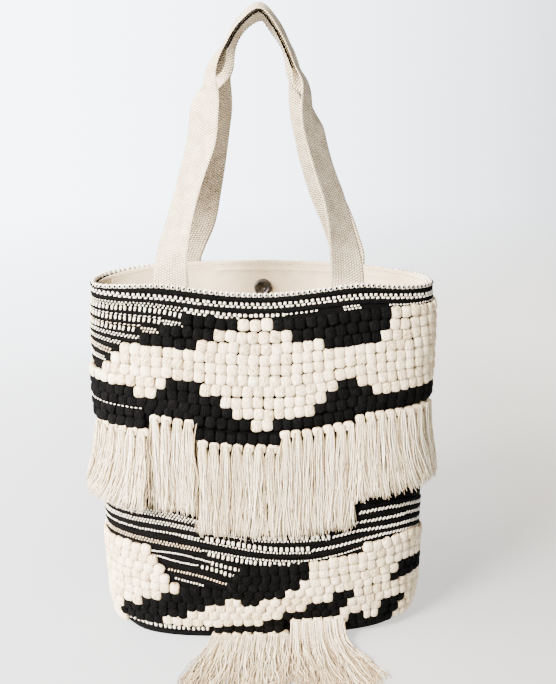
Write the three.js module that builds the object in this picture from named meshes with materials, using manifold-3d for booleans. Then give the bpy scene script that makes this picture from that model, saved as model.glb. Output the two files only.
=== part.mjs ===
// Woven tote bag: a loop-pile shell of two panels, a canvas lining, two webbing
// handles, a magnetic snap and rows of cream fringe. Millimetres, +Z up, front -Y.
// The origin is the middle of the flat base, on the surface that the bag stands on.
import * as THREE from 'three'
import Module from 'manifold-3d'

const wasm = await Module()
wasm.setup()

// Driving dimensions of the bag
const bagHeight = 352
const halfWidth = 164
const frontDepth = 71
const backDepth = 60
const bagTurn = 3.4 // degrees that the bag is turned about +Z
const shellWall = 3
const liningWall = 1.2
const clearance = 0.3
const liningDrop = 1.2 // lining edge below the woven rim
const frontLift = 2.5
const frontDip = 5
const frontSwell = 2
const backArch = 11.5
const backTilt = 0.4 // drop of the back rim to the right, as a share of backArch
const rowSag = 10 // how far the weft rows sag at the middle of the front
const seamShift = 8 // side seams: distance behind the origin
const seamSlope = -0.12

// Driving dimensions of the loop pile
const loopPitch = 9.88
const loopRelief = 5.5
const grooveShare = 0.35 // depth of the pile between two rows, as a share of loopRelief
const upperPileDrop = 20.5 // top of the upper pile below the rim
const upperPileRows = 9
const lowerPileTop = 110 // top of the lower pile above the base
const lowerPileRows = 9
const pileSeam = 2.5 // pile stops this far from the side seams
const pileGap = 0.5

// Driving dimensions of the handles and the snap
const webWidth = 32
const webThick = 1.6
const gripWidth = 16
const gripThick = 4.2
const sewnDepth = 42 // webbing sewn in below the rim
const sewnSteps = [1, 0.62, 0.28] // depths of its rings, as shares of sewnDepth
const rimExit = 3 // height above the rim where the webbing starts to lean
const handleReach = 80
const handleHeight = 250
const handleOffset = 48
const snapDiameter = 18
const snapHeight = 3
const snapDrop = 28 // snap centre below the rim

// Driving dimensions of the fringe
const fringeThick = 5
const fringeHead = 8
const fringeDrop = 102
const lockRoot = 0.95 // width of a lock at its head, as a share of its pitch
const lockTip = 0.83
const tipThin = 0.45 // loss of thickness at the tip, as a share of fringeThick
const lockGap = 1.2
const floorReach = 98
const floorRise = 9

const columns = 36
const levels = [0, 0.03, 0.08, 0.16, 0.3, 0.45, 0.62, 0.78, 0.92, 1]

// Bag sections, as shares of halfWidth, frontDepth, backDepth and rowSag
const sections = [
  { v: 0.0, wide: 0.85, front: 0.8, back: 0.77, square: 3.0, sag: 0.0 },
  { v: 0.03, wide: 0.91, front: 0.88, back: 0.87, square: 2.9, sag: 0.25 },
  { v: 0.08, wide: 0.945, front: 0.93, back: 0.93, square: 2.8, sag: 0.45 },
  { v: 0.16, wide: 0.955, front: 0.97, back: 0.97, square: 2.8, sag: 0.7 },
  { v: 0.3, wide: 0.965, front: 1.0, back: 1.0, square: 2.7, sag: 1.0 },
  { v: 0.45, wide: 0.975, front: 1.0, back: 1.0, square: 2.6, sag: 1.0 },
  { v: 0.62, wide: 0.99, front: 0.95, back: 0.97, square: 2.6, sag: 0.85 },
  { v: 0.78, wide: 1.0, front: 0.85, back: 0.9, square: 2.6, sag: 0.5 },
  { v: 0.92, wide: 1.0, front: 0.74, back: 0.84, square: 2.7, sag: 0.15 },
  { v: 1.0, wide: 0.985, front: 0.67, back: 0.81, square: 2.9, sag: 0.0 }
]

const mix = (a, b, t) => a + (b - a) * t
const clamp = (x, lo, hi) => Math.min(hi, Math.max(lo, x))
const power = (c, n) => Math.sign(c) * Math.abs(c) ** (2 / n)
const bell = (x, wide) => Math.exp(-((x / wide) ** 2))

// Index of the table step that v lies in, the last one for a v past the end
function stepBelow(values, v) {
  const found = values.findIndex(value => value >= v)
  return found < 0 ? values.length - 1 : Math.max(found, 1)
}

function section(v) {
  const k = stepBelow(sections.map(s => s.v), v)
  const [a, b] = [sections[k - 1], sections[k]]
  const t = (v - a.v) / (b.v - a.v)
  const pick = name => mix(a[name], b[name], t)
  return {
    wide: pick('wide') * halfWidth,
    front: pick('front') * frontDepth,
    back: pick('back') * backDepth,
    square: pick('square'),
    sag: pick('sag') * rowSag
  }
}

// Height of the wavy rim above bagHeight, across from -1 to 1
function rimWave(across, isFront) {
  const side = Math.abs(across)
  if (isFront) {
    const lift = frontLift * (1 - side ** 6)
    return lift - frontDip * bell(across, 0.36) + frontSwell * bell(side - 0.6, 0.2)
  }
  const tilt = backTilt * clamp(across, 0, 1) * (1 - across ** 4)
  return backArch * (1 - side ** 3 - tilt)
}

// Plan outline of one section at angle t, pushed outward by an offset
function outline(s, t, offset) {
  const at = angle => {
    const sine = Math.sin(angle)
    const deep = sine < 0 ? s.front : s.back
    return [s.wide * power(Math.cos(angle), s.square), deep * power(sine, s.square)]
  }
  const [x, y] = at(t)
  const step = 0.02
  const [x0, y0] = at(t - step)
  const [x1, y1] = at(t + step)
  const long = Math.hypot(x1 - x0, y1 - y0)
  return [x + (offset * (y1 - y0)) / long, y - (offset * (x1 - x0)) / long]
}

// Point on the woven shell at angle t and height share v
function shellPoint(t, v, offset = 0) {
  const s = section(v)
  const [x, y] = outline(s, t, offset)
  const across = clamp(x / s.wide, -1, 1)
  const isFront = Math.sin(t) < 0
  const sag = isFront ? s.sag * bell(across, 0.6) : 0
  const z = v * (bagHeight + rimWave(across, isFront)) - sag
  const turn = THREE.MathUtils.degToRad(bagTurn)
  return new THREE.Vector3(
    x * Math.cos(turn) - y * Math.sin(turn),
    x * Math.sin(turn) + y * Math.cos(turn),
    Math.max(z, 0)
  )
}

// Angles that split the widest section into even steps of its length
function evenAngles(count) {
  const fine = 1440
  const s = section(0.5)
  const lengths = [0]
  let last = outline(s, 0, 0)
  for (let i = 1; i <= fine; i++) {
    const next = outline(s, (2 * Math.PI * i) / fine, 0)
    lengths.push(lengths[i - 1] + Math.hypot(next[0] - last[0], next[1] - last[1]))
    last = next
  }
  return Array.from({ length: count }, (_, j) => {
    const want = (lengths[fine] * j) / count
    const i = lengths.findIndex(l => l >= want)
    const part = i > 0 ? (want - lengths[i - 1]) / (lengths[i] - lengths[i - 1]) : 0
    return (2 * Math.PI * (i - 1 + part)) / fine
  })
}
const angles = evenAngles(columns)

// Faceted shell surface, so that every layer follows the same facets
function facetPoint(t, v, offset = 0) {
  const k = stepBelow(levels, v)
  const part = (v - levels[k - 1]) / (levels[k] - levels[k - 1])
  return shellPoint(t, levels[k - 1], offset).lerp(shellPoint(t, levels[k], offset), part)
}

const ringAt = (v, offset) => angles.map(t => facetPoint(t, v, offset))

// Closed solid through rings of points: tube, cup or hoop
function loftSolid(rings, { poles = null, hoop = false } = {}) {
  const count = rings[0].length
  const points = rings.flat()
  const faces = []
  const index = (i, j) => (i % rings.length) * count + (j % count)
  const last = rings.length - 1
  for (let i = 0; i < (hoop ? rings.length : last); i++) {
    // Every quad is split the same way seen from outside, so that layers nest
    const rising = rings[(i + 1) % rings.length][0].z >= rings[i][0].z
    for (let j = 0; j < count; j++) {
      const [a, b, c, d] = [index(i, j), index(i, j + 1), index(i + 1, j + 1), index(i + 1, j)]
      if (rising) faces.push(a, b, c, a, c, d)
      else faces.push(a, b, d, b, c, d)
    }
  }
  if (poles) {
    const [start, end] = [points.length, points.length + 1]
    points.push(poles[0], poles[1])
    for (let j = 0; j < count; j++) {
      faces.push(start, index(0, j + 1), index(0, j))
      faces.push(end, index(last, j), index(last, j + 1))
    }
  } else if (!hoop) {
    for (let j = 1; j < count - 1; j++) {
      faces.push(index(0, 0), index(0, j + 1), index(0, j))
      faces.push(index(last, 0), index(last, j), index(last, j + 1))
    }
  }
  return makeSolid(points, faces)
}

function signedVolume(points, faces) {
  let total = 0
  for (let k = 0; k < faces.length; k += 3) {
    const [a, b, c] = [points[faces[k]], points[faces[k + 1]], points[faces[k + 2]]]
    total += a.dot(new THREE.Vector3().crossVectors(b, c))
  }
  return total / 6
}

function makeSolid(points, faces) {
  const order = signedVolume(points, faces) < 0 ? faces.slice().reverse() : faces
  return new wasm.Manifold(
    new wasm.Mesh({
      numProp: 3,
      vertProperties: new Float32Array(points.flatMap(p => [p.x, p.y, p.z])),
      triVerts: new Uint32Array(order)
    })
  )
}

function fromGeometry(geometry, position = new THREE.Vector3(), turn = new THREE.Quaternion()) {
  const place = new THREE.Matrix4().compose(position, turn, new THREE.Vector3(1, 1, 1))
  const source = geometry.clone().applyMatrix4(place)
  const seen = new Map()
  const points = []
  const corner = source.attributes.position
  const remap = Array.from({ length: corner.count }, (_, i) => {
    const p = new THREE.Vector3().fromBufferAttribute(corner, i)
    const key = [p.x, p.y, p.z].map(c => Math.round(c * 1e4)).join()
    if (!seen.has(key)) {
      seen.set(key, points.length)
      points.push(p)
    }
    return seen.get(key)
  })
  const faces = []
  const index = source.index ? Array.from(source.index.array) : corner.array.map((_, i) => i)
  for (let k = 0; k < index.length; k += 3) {
    const [a, b, c] = [remap[index[k]], remap[index[k + 1]], remap[index[k + 2]]]
    if (a !== b && b !== c && c !== a) faces.push(a, b, c)
  }
  return makeSolid(points, faces)
}

// Everything on one side of the slanting plane of the side seams
function sideOfSeam(isFront, gap) {
  const size = 4 * bagHeight
  const turn = Math.atan(seamSlope)
  const away = size / 2 + gap
  const box = new THREE.BoxGeometry(size, size, size)
  const spin = new THREE.Quaternion().setFromAxisAngle(new THREE.Vector3(0, 0, 1), turn)
  const shift = new THREE.Vector3(0, isFront ? -away : away, 0).applyQuaternion(spin)
  return fromGeometry(box, shift.add(new THREE.Vector3(0, seamShift, 0)), spin)
}

// Cup with a wall between two offsets and a flat floor
function cup(outer, inner, bottom, floor, drop) {
  const outerRings = levels.map(v => ringAt(v, outer))
  const innerRings = levels.map(v => ringAt(v, inner))
  const raise = (p, z) => new THREE.Vector3(p.x, p.y, Math.max(p.z, z))
  const lower = (rings, z) => rings.map(ring => ring.map(p => raise(p, z)))
  const top = ring => ring.map(p => new THREE.Vector3(p.x, p.y, p.z - drop))
  const outside = lower(outerRings, bottom)
  const inside = lower(innerRings, bottom + floor)
  outside[outside.length - 1] = top(outside[outside.length - 1])
  inside[inside.length - 1] = top(inside[inside.length - 1])
  const poles = [new THREE.Vector3(0, 0, bottom), new THREE.Vector3(0, 0, bottom + floor)]
  return loftSolid([...outside, ...inside.reverse()], { poles })
}

// Ribbed pile: one rounded rib for each row of loops, as a hoop round the bag
function pileHoop(topShare, rows) {
  const rowShare = loopPitch / bagHeight
  const bottomShare = topShare - rows * rowShare
  const proud = pileGap + loopRelief
  const groove = pileGap + grooveShare * loopRelief
  const profile = []
  for (let i = 0; i < rows; i++) {
    const v = topShare - i * rowShare
    profile.push([v, groove])
    profile.push([v - rowShare / 2, proud])
  }
  profile.push([bottomShare, groove])
  const between = levels.filter(v => v > bottomShare + 0.01 && v < topShare - 0.01)
  for (const v of [bottomShare, ...between, topShare]) profile.push([v, pileGap])
  return loftSolid(profile.map(([v, offset]) => ringAt(v, offset)), { hoop: true })
}

// Shell point under a given x and height, on the front or the back wall
function wallPoint(x, v, isFront, offset) {
  let [lo, hi] = isFront ? [-Math.PI, 0] : [Math.PI, 0]
  for (let i = 0; i < 40; i++) {
    const mid = (lo + hi) / 2
    if (facetPoint(mid, v, offset).x < x) lo = mid
    else hi = mid
  }
  return facetPoint((lo + hi) / 2, v, offset)
}

// Handle legs from the rim to the top: rise, reach and lean are shares of the
// handle's drop, half spacing and lean, turn is the face's turn in degrees and
// fold is 0 for flat webbing and 1 for the folded grip.
const frontLegs = {
  left: [
    { rise: 0.11, reach: 1.03, lean: 0.96, turn: 20, fold: 0 },
    { rise: 0.26, reach: 0.93, lean: 0.9, turn: 42, fold: 0 },
    { rise: 0.42, reach: 0.79, lean: 0.75, turn: 44, fold: 0 },
    { rise: 0.55, reach: 0.67, lean: 0.58, turn: 34, fold: 0 },
    { rise: 0.66, reach: 0.62, lean: 0.42, turn: 34, fold: 0.05 },
    { rise: 0.72, reach: 0.59, lean: 0.33, turn: 40, fold: 0.35 },
    { rise: 0.79, reach: 0.52, lean: 0.26, turn: 52, fold: 0.9 },
    { rise: 0.872, reach: 0.38, lean: 0.21, turn: 58, fold: 1 },
    { rise: 0.945, reach: 0.22, lean: 0.18, turn: 62, fold: 1 }
  ],
  top: { rise: 0.982, reach: 0.02, lean: 0.18, turn: 64, fold: 1 },
  right: [
    { rise: 0.945, reach: 0.13, lean: 0.18, turn: 64, fold: 1 },
    { rise: 0.872, reach: 0.26, lean: 0.21, turn: 64, fold: 1 },
    { rise: 0.78, reach: 0.4, lean: 0.27, turn: 62, fold: 0.8 },
    { rise: 0.69, reach: 0.49, lean: 0.38, turn: 60, fold: 0.15 },
    { rise: 0.59, reach: 0.58, lean: 0.52, turn: 58, fold: 0 },
    { rise: 0.46, reach: 0.68, lean: 0.66, turn: 56, fold: 0 },
    { rise: 0.33, reach: 0.82, lean: 0.75, turn: 52, fold: 0 },
    { rise: 0.2, reach: 0.91, lean: 0.8, turn: 40, fold: 0 },
    { rise: 0.1, reach: 0.96, lean: 0.82, turn: 22, fold: 0 }
  ]
}
const backLegs = {
  left: [
    { rise: 0.12, reach: 0.9, lean: 0.84, turn: 12, fold: 0 },
    { rise: 0.2, reach: 0.78, lean: 0.81, turn: 20, fold: 0 },
    { rise: 0.3, reach: 0.7, lean: 0.75, turn: 26, fold: 0 },
    { rise: 0.46, reach: 0.61, lean: 0.64, turn: 28, fold: 0 },
    { rise: 0.6, reach: 0.545, lean: 0.49, turn: 30, fold: 0 },
    { rise: 0.71, reach: 0.5, lean: 0.37, turn: 36, fold: 0.3 },
    { rise: 0.79, reach: 0.44, lean: 0.29, turn: 48, fold: 0.85 },
    { rise: 0.87, reach: 0.36, lean: 0.23, turn: 58, fold: 1 },
    { rise: 0.935, reach: 0.21, lean: 0.19, turn: 62, fold: 1 }
  ],
  top: { rise: 0.968, reach: 0.02, lean: 0.18, turn: 62, fold: 1 },
  right: [
    { rise: 0.93, reach: 0.12, lean: 0.19, turn: 62, fold: 1 },
    { rise: 0.86, reach: 0.24, lean: 0.23, turn: 60, fold: 1 },
    { rise: 0.77, reach: 0.34, lean: 0.31, turn: 54, fold: 0.85 },
    { rise: 0.68, reach: 0.43, lean: 0.42, turn: 44, fold: 0.3 },
    { rise: 0.56, reach: 0.525, lean: 0.56, turn: 34, fold: 0 },
    { rise: 0.43, reach: 0.63, lean: 0.74, turn: 28, fold: 0 },
    { rise: 0.31, reach: 0.76, lean: 0.86, turn: 20, fold: 0 },
    { rise: 0.21, reach: 0.9, lean: 0.95, turn: 12, fold: 0 },
    { rise: 0.12, reach: 1.0, lean: 1.0, turn: 6, fold: 0 }
  ]
}

// Ring of six points round flat webbing
function stripRing(trio, normal, thick) {
  const out = normal.clone().setLength(thick / 2)
  const face = trio.map(p => p.clone().add(out))
  const back = trio.map(p => p.clone().sub(out)).reverse()
  return [...face, ...back]
}

// Ring of the webbing sewn into the wall, at a depth below the rim
function sewnRing(leg, below, extra = 0) {
  const v = 1 - below / bagHeight
  const inset = -(shellWall - webThick / 2)
  const half = webWidth / 2 + extra
  const trio = [-half, 0, half].map(dx => wallPoint(leg.x + leg.side * dx, v, leg.isFront, inset))
  const normal = trio[2].clone().sub(trio[0]).cross(new THREE.Vector3(0, 0, 1))
  if (normal.y * (leg.isFront ? -1 : 1) < 0) normal.negate()
  return stripRing(trio, normal, webThick + 2 * extra)
}

// Pocket in the wall that one sewn end sits in
function sewnPocket(leg) {
  const within = sewnSteps.slice(1).map(share => share * sewnDepth)
  const depths = [sewnDepth + clearance, ...within, -rimExit, -2 * rimExit]
  return loftSolid(depths.map(d => sewnRing(leg, d, clearance)))
}

function handleSolid(legs, ends, isFront) {
  const facing = new THREE.Vector3(0, isFront ? -1 : 1, 0)
  const centre = (row, sign) =>
    new THREE.Vector3(
      sign * row.reach * handleReach,
      facing.y * row.lean * handleOffset,
      bagHeight + row.rise * handleHeight
    )
  const rows = [...legs.left, legs.top, ...legs.right]
  const points = rows.map((row, i) => centre(row, i > legs.left.length ? 1 : -1))
  const depths = [...sewnSteps.map(share => share * sewnDepth), -rimExit]
  const startRings = depths.map(d => sewnRing(ends[0], d))
  const endRings = depths.map(d => sewnRing(ends[1], d)).reverse()
  const middle = ring => ring[1].clone().lerp(ring[4], 0.5)
  const chain = [middle(startRings[3]), ...points, middle(endRings[0])]
  const freeRings = rows.map((row, i) => {
    const along = chain[i + 2].clone().sub(chain[i]).normalize()
    const face = facing.clone().addScaledVector(along, -facing.dot(along)).normalize()
    const outward = along.clone().cross(new THREE.Vector3(0, 1, 0)).normalize()
    const angle = THREE.MathUtils.degToRad(row.turn)
    const normal = face.multiplyScalar(Math.cos(angle)).addScaledVector(outward, Math.sin(angle))
    const side = along.clone().cross(normal).normalize()
    const half = mix(webWidth, gripWidth, row.fold) / 2
    const trio = [-half, 0, half].map(w => points[i].clone().addScaledVector(side, w))
    return stripRing(trio, normal, mix(webThick, gripThick, row.fold))
  })
  return loftSolid([...startRings, ...freeRings, ...endRings])
}

// Angle on the widest section at a share of the front, from left side to right
function frontAngle(share) {
  const fine = 400
  const s = section(0.5)
  const at = i => outline(s, -Math.PI * (1 - i / fine), 0)
  const lengths = [0]
  for (let i = 1; i <= fine; i++) {
    const [a, b] = [at(i - 1), at(i)]
    lengths.push(lengths[i - 1] + Math.hypot(b[0] - a[0], b[1] - a[1]))
  }
  const want = share * lengths[fine]
  const i = clamp(lengths.findIndex(l => l >= want), 1, fine)
  const part = (want - lengths[i - 1]) / (lengths[i] - lengths[i - 1])
  return -Math.PI * (1 - (i - 1 + part) / fine)
}

// Box-like ring between two angles, two heights and two offsets, one per station
function slab(stations) {
  const rings = stations.map(({ from, to, v, near, far }) => [
    facetPoint(from, v, near),
    facetPoint(to, v, near),
    facetPoint(to, v, far),
    facetPoint(from, v, far)
  ])
  return loftSolid(rings)
}

// Hanging blocks of fringe: from and to are shares of the front, under is how many
// rows the head starts below the upper pile, drop is a share of fringeDrop, flare
// moves the tips along the front by a share and lift is a share of fringeThick.
const hangingBlocks = [
  { from: 0.06, to: 0.222, under: 1.91, drop: 0.745, locks: 4, flare: -0.03, lift: 2.4 },
  { from: 0.225, to: 0.333, under: 0.57, drop: 0.863, locks: 3, flare: -0.004, lift: 0.5 },
  { from: 0.336, to: 0.528, under: 2.34, drop: 0.863, locks: 5, flare: 0, lift: 0.4 },
  { from: 0.531, to: 0.706, under: 1.13, drop: 1, locks: 5, flare: 0, lift: 0.4 },
  { from: 0.709, to: 0.935, under: 0.64, drop: 0.843, locks: 6, flare: 0.03, lift: 2.2 }
]

// Strip along the front wall, from one share of the front to another
function wallStrip({ from, to, locks }, top, height, near, thick) {
  const steps = locks * 2
  const low = top - height / bagHeight
  const rings = []
  for (let i = 0; i <= steps; i++) {
    const t = frontAngle(mix(from, to, i / steps))
    rings.push([
      facetPoint(t, low, near),
      facetPoint(t, top, near),
      facetPoint(t, top, near + thick),
      facetPoint(t, low, near + thick)
    ])
  }
  return loftSolid(rings)
}

const headGap = pileGap + clearance
const headStrip = (block, top) => wallStrip(block, top, fringeHead, headGap, fringeThick)

function hangingFringe(block) {
  const rows = upperPileRows + block.under
  const top = 1 - (upperPileDrop + rows * loopPitch) / bagHeight
  let solid = headStrip(block, top)
  const wide = (block.to - block.from) / block.locks
  for (let i = 0; i < block.locks; i++) {
    const middle = block.from + wide * (i + 0.5)
    const uneven = 1 + 0.05 * Math.sin(2.3 * i + block.locks)
    const long = block.drop * fringeDrop * uneven
    const stations = [0.02, 0.35, 0.7, 1].map(q => {
      const half = (wide * mix(lockRoot, lockTip, q)) / 2
      const drift = middle + block.flare * q * q + 0.004 * q * Math.sin(1.7 * i)
      const near = headGap + block.lift * fringeThick * q ** 1.5
      return {
        from: frontAngle(drift - half),
        to: frontAngle(drift + half),
        v: top - (q * long) / bagHeight,
        near,
        far: near + fringeThick * (1 - tipThin * q)
      }
    })
    solid = solid.add(slab(stations))
  }
  return solid
}

// Blocks of fringe at the foot of the front, which fall to the floor and fan out:
// top is a share of bagHeight, tipFrom and tipTo are where the tips end, as shares
// of halfWidth, and reach is a share of floorReach.
const floorBlocks = [
  { from: 0.365, to: 0.548, locks: 5, top: 0.034, tipFrom: -0.47, tipTo: 0.16, reach: 1.0 },
  { from: 0.551, to: 0.69, locks: 4, top: 0.074, tipFrom: 0.17, tipTo: 0.72, reach: 0.92 }
]

// Stations of one lock: q is the way to the tip, rise and thick are shares of
// floorRise and flat is 0 against the wall and 1 on the floor.
const floorStations = [
  { q: 0.07, rise: 1, thick: 0.72, flat: 0.35 },
  { q: 0.3, rise: 0.72, thick: 0.69, flat: 1 },
  { q: 0.7, rise: 0.5, thick: 0.47, flat: 1 },
  { q: 1, rise: 0.33, thick: 0.3, flat: 1 }
]

function floorFringe(block) {
  let solid = headStrip(block, block.top)
  const wide = (block.to - block.from) / block.locks
  const tipWide = ((block.tipTo - block.tipFrom) * halfWidth) / block.locks
  for (let i = 0; i < block.locks; i++) {
    const edges = [block.from + wide * (i + 0.04), block.from + wide * (i + 0.96)]
    const roots = edges.map(e => facetPoint(frontAngle(e), block.top, headGap))
    const tipX = block.tipFrom * halfWidth + tipWide * i
    const tips = [tipX + lockGap / 2, tipX + tipWide - lockGap / 2]
    const reach = floorReach * block.reach * (1 - 0.06 * Math.abs(Math.sin(2.1 * i + 1)))
    const outward = new THREE.Vector3(0, -fringeThick, 0)
    const rings = [
      [
        roots[0].clone().setZ(roots[0].z - fringeHead / 2),
        roots[1].clone().setZ(roots[1].z - fringeHead / 2),
        roots[1].clone().add(outward),
        roots[0].clone().add(outward)
      ]
    ]
    for (const { q, rise, thick, flat } of floorStations) {
      const spread = q ** 1.3
      const [left, right] = [0, 1].map(k => mix(roots[k].x, tips[k], spread))
      const y = mix(roots[0].y, roots[1].y, 0.5) - q * reach
      const high = rise * floorRise
      const lean = (1 - flat) * thick * floorRise
      const low = Math.max(high - mix(0.6, 1, flat) * thick * floorRise, clearance)
      rings.push([
        new THREE.Vector3(left, y + lean / 2, low),
        new THREE.Vector3(right, y + lean / 2, low),
        new THREE.Vector3(right, y - lean, high),
        new THREE.Vector3(left, y - lean, high)
      ])
    }
    solid = solid.add(loftSolid(rings))
  }
  return solid
}

// Halves of the magnetic snap: radius and height of each turned step, as shares
// of the snap's radius and height, facing into the bag
const studProfile = [[0, 0], [1, 0], [1, 0.2], [0.9, 0.85], [0.24, 0.85], [0.18, 1.3], [0, 1.3]]
const socketProfile = [
  [0, 0], [1, 0], [1, 0.2], [0.9, 1], [0.6, 1], [0.48, 0.7], [0.22, 0.7], [0.2, 0.35], [0, 0.35]
]

function placedSnap(profile, isFront) {
  const v = 1 - snapDrop / bagHeight
  const offset = -(shellWall + liningWall + 2 * clearance + 0.1)
  const along = x => wallPoint(x, v, isFront, offset)
  const above = share => wallPoint(0, v + share, isFront, offset)
  const right = along(snapDiameter / 2).sub(along(-snapDiameter / 2))
  const up = above(0.02).sub(above(-0.02))
  const inward = right.cross(up).normalize()
  if (inward.y * (isFront ? 1 : -1) < 0) inward.negate()
  const spin = new THREE.Quaternion().setFromUnitVectors(new THREE.Vector3(0, 1, 0), inward)
  const steps = profile.map(([r, h]) => new THREE.Vector2((r * snapDiameter) / 2, h * snapHeight))
  return fromGeometry(new THREE.LatheGeometry(steps, 16), along(0), spin)
}

// Materials
const wovenCotton = new THREE.MeshStandardMaterial({ color: 0x1b1a1a, roughness: 0.95, metalness: 0 })
const pileCotton = new THREE.MeshStandardMaterial({ color: 0xe9e2d4, roughness: 0.95, metalness: 0 })
const fringeCotton = new THREE.MeshStandardMaterial({ color: 0xe2d8c6, roughness: 0.95, metalness: 0 })
const canvas = new THREE.MeshStandardMaterial({ color: 0xdccfba, roughness: 0.9, metalness: 0 })
const webbing = new THREE.MeshStandardMaterial({ color: 0xe0d3bd, roughness: 0.9, metalness: 0 })
const gunmetal = new THREE.MeshStandardMaterial({ color: 0x5c5a57, roughness: 0.4, metalness: 0.9 })

const bag = new THREE.Group()
function addPiece(name, solid, material) {
  const mesh = solid.getMesh()
  const geometry = new THREE.BufferGeometry()
  geometry.setAttribute('position', new THREE.BufferAttribute(Float32Array.from(mesh.vertProperties), 3))
  geometry.setIndex(Array.from(mesh.triVerts))
  geometry.computeVertexNormals()
  const piece = new THREE.Mesh(geometry, material)
  piece.name = name
  bag.add(piece)
}

const handleEnds = {
  front: [
    { x: -1.03 * handleReach, side: 1, isFront: true },
    { x: 0.97 * handleReach, side: -1, isFront: true }
  ],
  back: [
    { x: -0.97 * handleReach, side: -1, isFront: false },
    { x: 1.06 * handleReach, side: 1, isFront: false }
  ]
}

let shell = cup(0, -shellWall, 0, shellWall, 0)
for (const end of [...handleEnds.front, ...handleEnds.back]) shell = shell.subtract(sewnPocket(end))
addPiece('front_panel', shell.intersect(sideOfSeam(true, clearance / 2)), wovenCotton)
addPiece('back_panel', shell.intersect(sideOfSeam(false, clearance / 2)), wovenCotton)

const liningOuter = shellWall + clearance
const liningCup = cup(-liningOuter, -liningOuter - liningWall, liningOuter, liningWall, liningDrop)
addPiece('lining', liningCup, canvas)

const upperPile = pileHoop(1 - upperPileDrop / bagHeight, upperPileRows)
let lowerPile = pileHoop(lowerPileTop / bagHeight, lowerPileRows)
for (const block of floorBlocks) {
  // Room for a fringe head that starts within the rows
  const margin = pileGap / halfWidth
  const room = { from: block.from - margin, to: block.to + margin, locks: block.locks }
  const top = block.top + pileGap / bagHeight
  lowerPile = lowerPile.subtract(wallStrip(room, top, top * bagHeight, 0, 2 * loopRelief))
}
for (const [side, isFront] of [['front', true], ['back', false]]) {
  addPiece(`upper_loops_${side}`, upperPile.intersect(sideOfSeam(isFront, pileSeam)), pileCotton)
  addPiece(`lower_loops_${side}`, lowerPile.intersect(sideOfSeam(isFront, pileSeam)), pileCotton)
}

addPiece('handle_front', handleSolid(frontLegs, handleEnds.front, true), webbing)
addPiece('handle_back', handleSolid(backLegs, handleEnds.back, false), webbing)
addPiece('snap_stud', placedSnap(studProfile, true), gunmetal)
addPiece('snap_socket', placedSnap(socketProfile, false), gunmetal)
hangingBlocks.forEach((block, i) => addPiece(`fringe_upper_${i + 1}`, hangingFringe(block), fringeCotton))
floorBlocks.forEach((block, i) => addPiece(`fringe_lower_${i + 1}`, floorFringe(block), fringeCotton))

export default bag
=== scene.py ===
import math
import bpy
import numpy as np
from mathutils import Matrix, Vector


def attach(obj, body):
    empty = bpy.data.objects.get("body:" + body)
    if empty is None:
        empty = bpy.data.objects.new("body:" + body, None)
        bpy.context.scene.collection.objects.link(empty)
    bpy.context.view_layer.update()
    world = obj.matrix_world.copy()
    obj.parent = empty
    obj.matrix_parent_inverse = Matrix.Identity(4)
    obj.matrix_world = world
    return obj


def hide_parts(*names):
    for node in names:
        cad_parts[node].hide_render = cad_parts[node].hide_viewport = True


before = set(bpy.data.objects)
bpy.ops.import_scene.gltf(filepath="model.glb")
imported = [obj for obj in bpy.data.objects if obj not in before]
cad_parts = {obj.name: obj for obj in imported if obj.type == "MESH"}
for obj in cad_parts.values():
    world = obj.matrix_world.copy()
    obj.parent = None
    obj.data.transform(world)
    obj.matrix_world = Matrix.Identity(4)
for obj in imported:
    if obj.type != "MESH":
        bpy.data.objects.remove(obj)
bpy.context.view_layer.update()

mm = 0.001
chance = np.random.default_rng(11)

# The woven body: sizes in millimetres, the rows are shares of them at heights v.
# A column is one loop wide, counted round the bag from the left end of the front.
bag = {
    "height": 352.0, "halfWidth": 164.0, "frontDepth": 71.0, "backDepth": 60.0, "turn": 3.4,
    "sag": 10.0, "sagWide": 0.6, "frontDip": 5.0, "dipWide": 0.36, "frontSwell": 2.0,
    "swellAt": 0.6, "swellWide": 0.2, "frontLift": 2.5, "liftFrom": 0.93, "backArch": 11.5,
    "backTilt": 0.4, "columns": 38, "seamRight": 35.6, "seamLeft": -3.6,
    "rows": [
        # v, wide, front, back, square, sag
        (0.00, 0.85, 0.80, 0.77, 3.0, 0.0),
        (0.03, 0.91, 0.88, 0.87, 2.9, 0.25),
        (0.08, 0.945, 0.93, 0.93, 2.8, 0.45),
        (0.16, 0.955, 0.97, 0.97, 2.8, 0.7),
        (0.30, 0.965, 1.0, 1.0, 2.7, 1.0),
        (0.45, 0.975, 1.0, 1.0, 2.6, 1.0),
        (0.62, 0.99, 0.95, 0.97, 2.6, 0.85),
        (0.78, 1.0, 0.85, 0.9, 2.6, 0.5),
        (0.92, 1.0, 0.74, 0.84, 2.7, 0.15),
        (1.00, 0.985, 0.67, 0.81, 2.9, 0.0),
    ],
}
bagRows = np.array(bag["rows"])


def throughKnots(values, knots, at):
    # smooth curve through the values at the knots
    slope = np.gradient(values, knots, axis=0)
    k = np.clip(np.searchsorted(knots, at) - 1, 0, len(knots) - 2)
    gap = knots[k + 1] - knots[k]
    t = (at - knots[k]) / gap
    if values.ndim > 1:
        t, gap = t[..., None], gap[..., None]
    return (
        (2 * t**3 - 3 * t**2 + 1) * values[k] + (t**3 - 2 * t**2 + t) * slope[k] * gap
        + (3 * t**2 - 2 * t**3) * values[k + 1] + (t**3 - t**2) * slope[k + 1] * gap
    )


def sectionAt(v):
    # wide, front, back, square and sag at heights v
    return throughKnots(bagRows[:, 1:], bagRows[:, 0], v)


def bump(x, wide):
    return np.exp(-((x / wide) ** 2))


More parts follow.
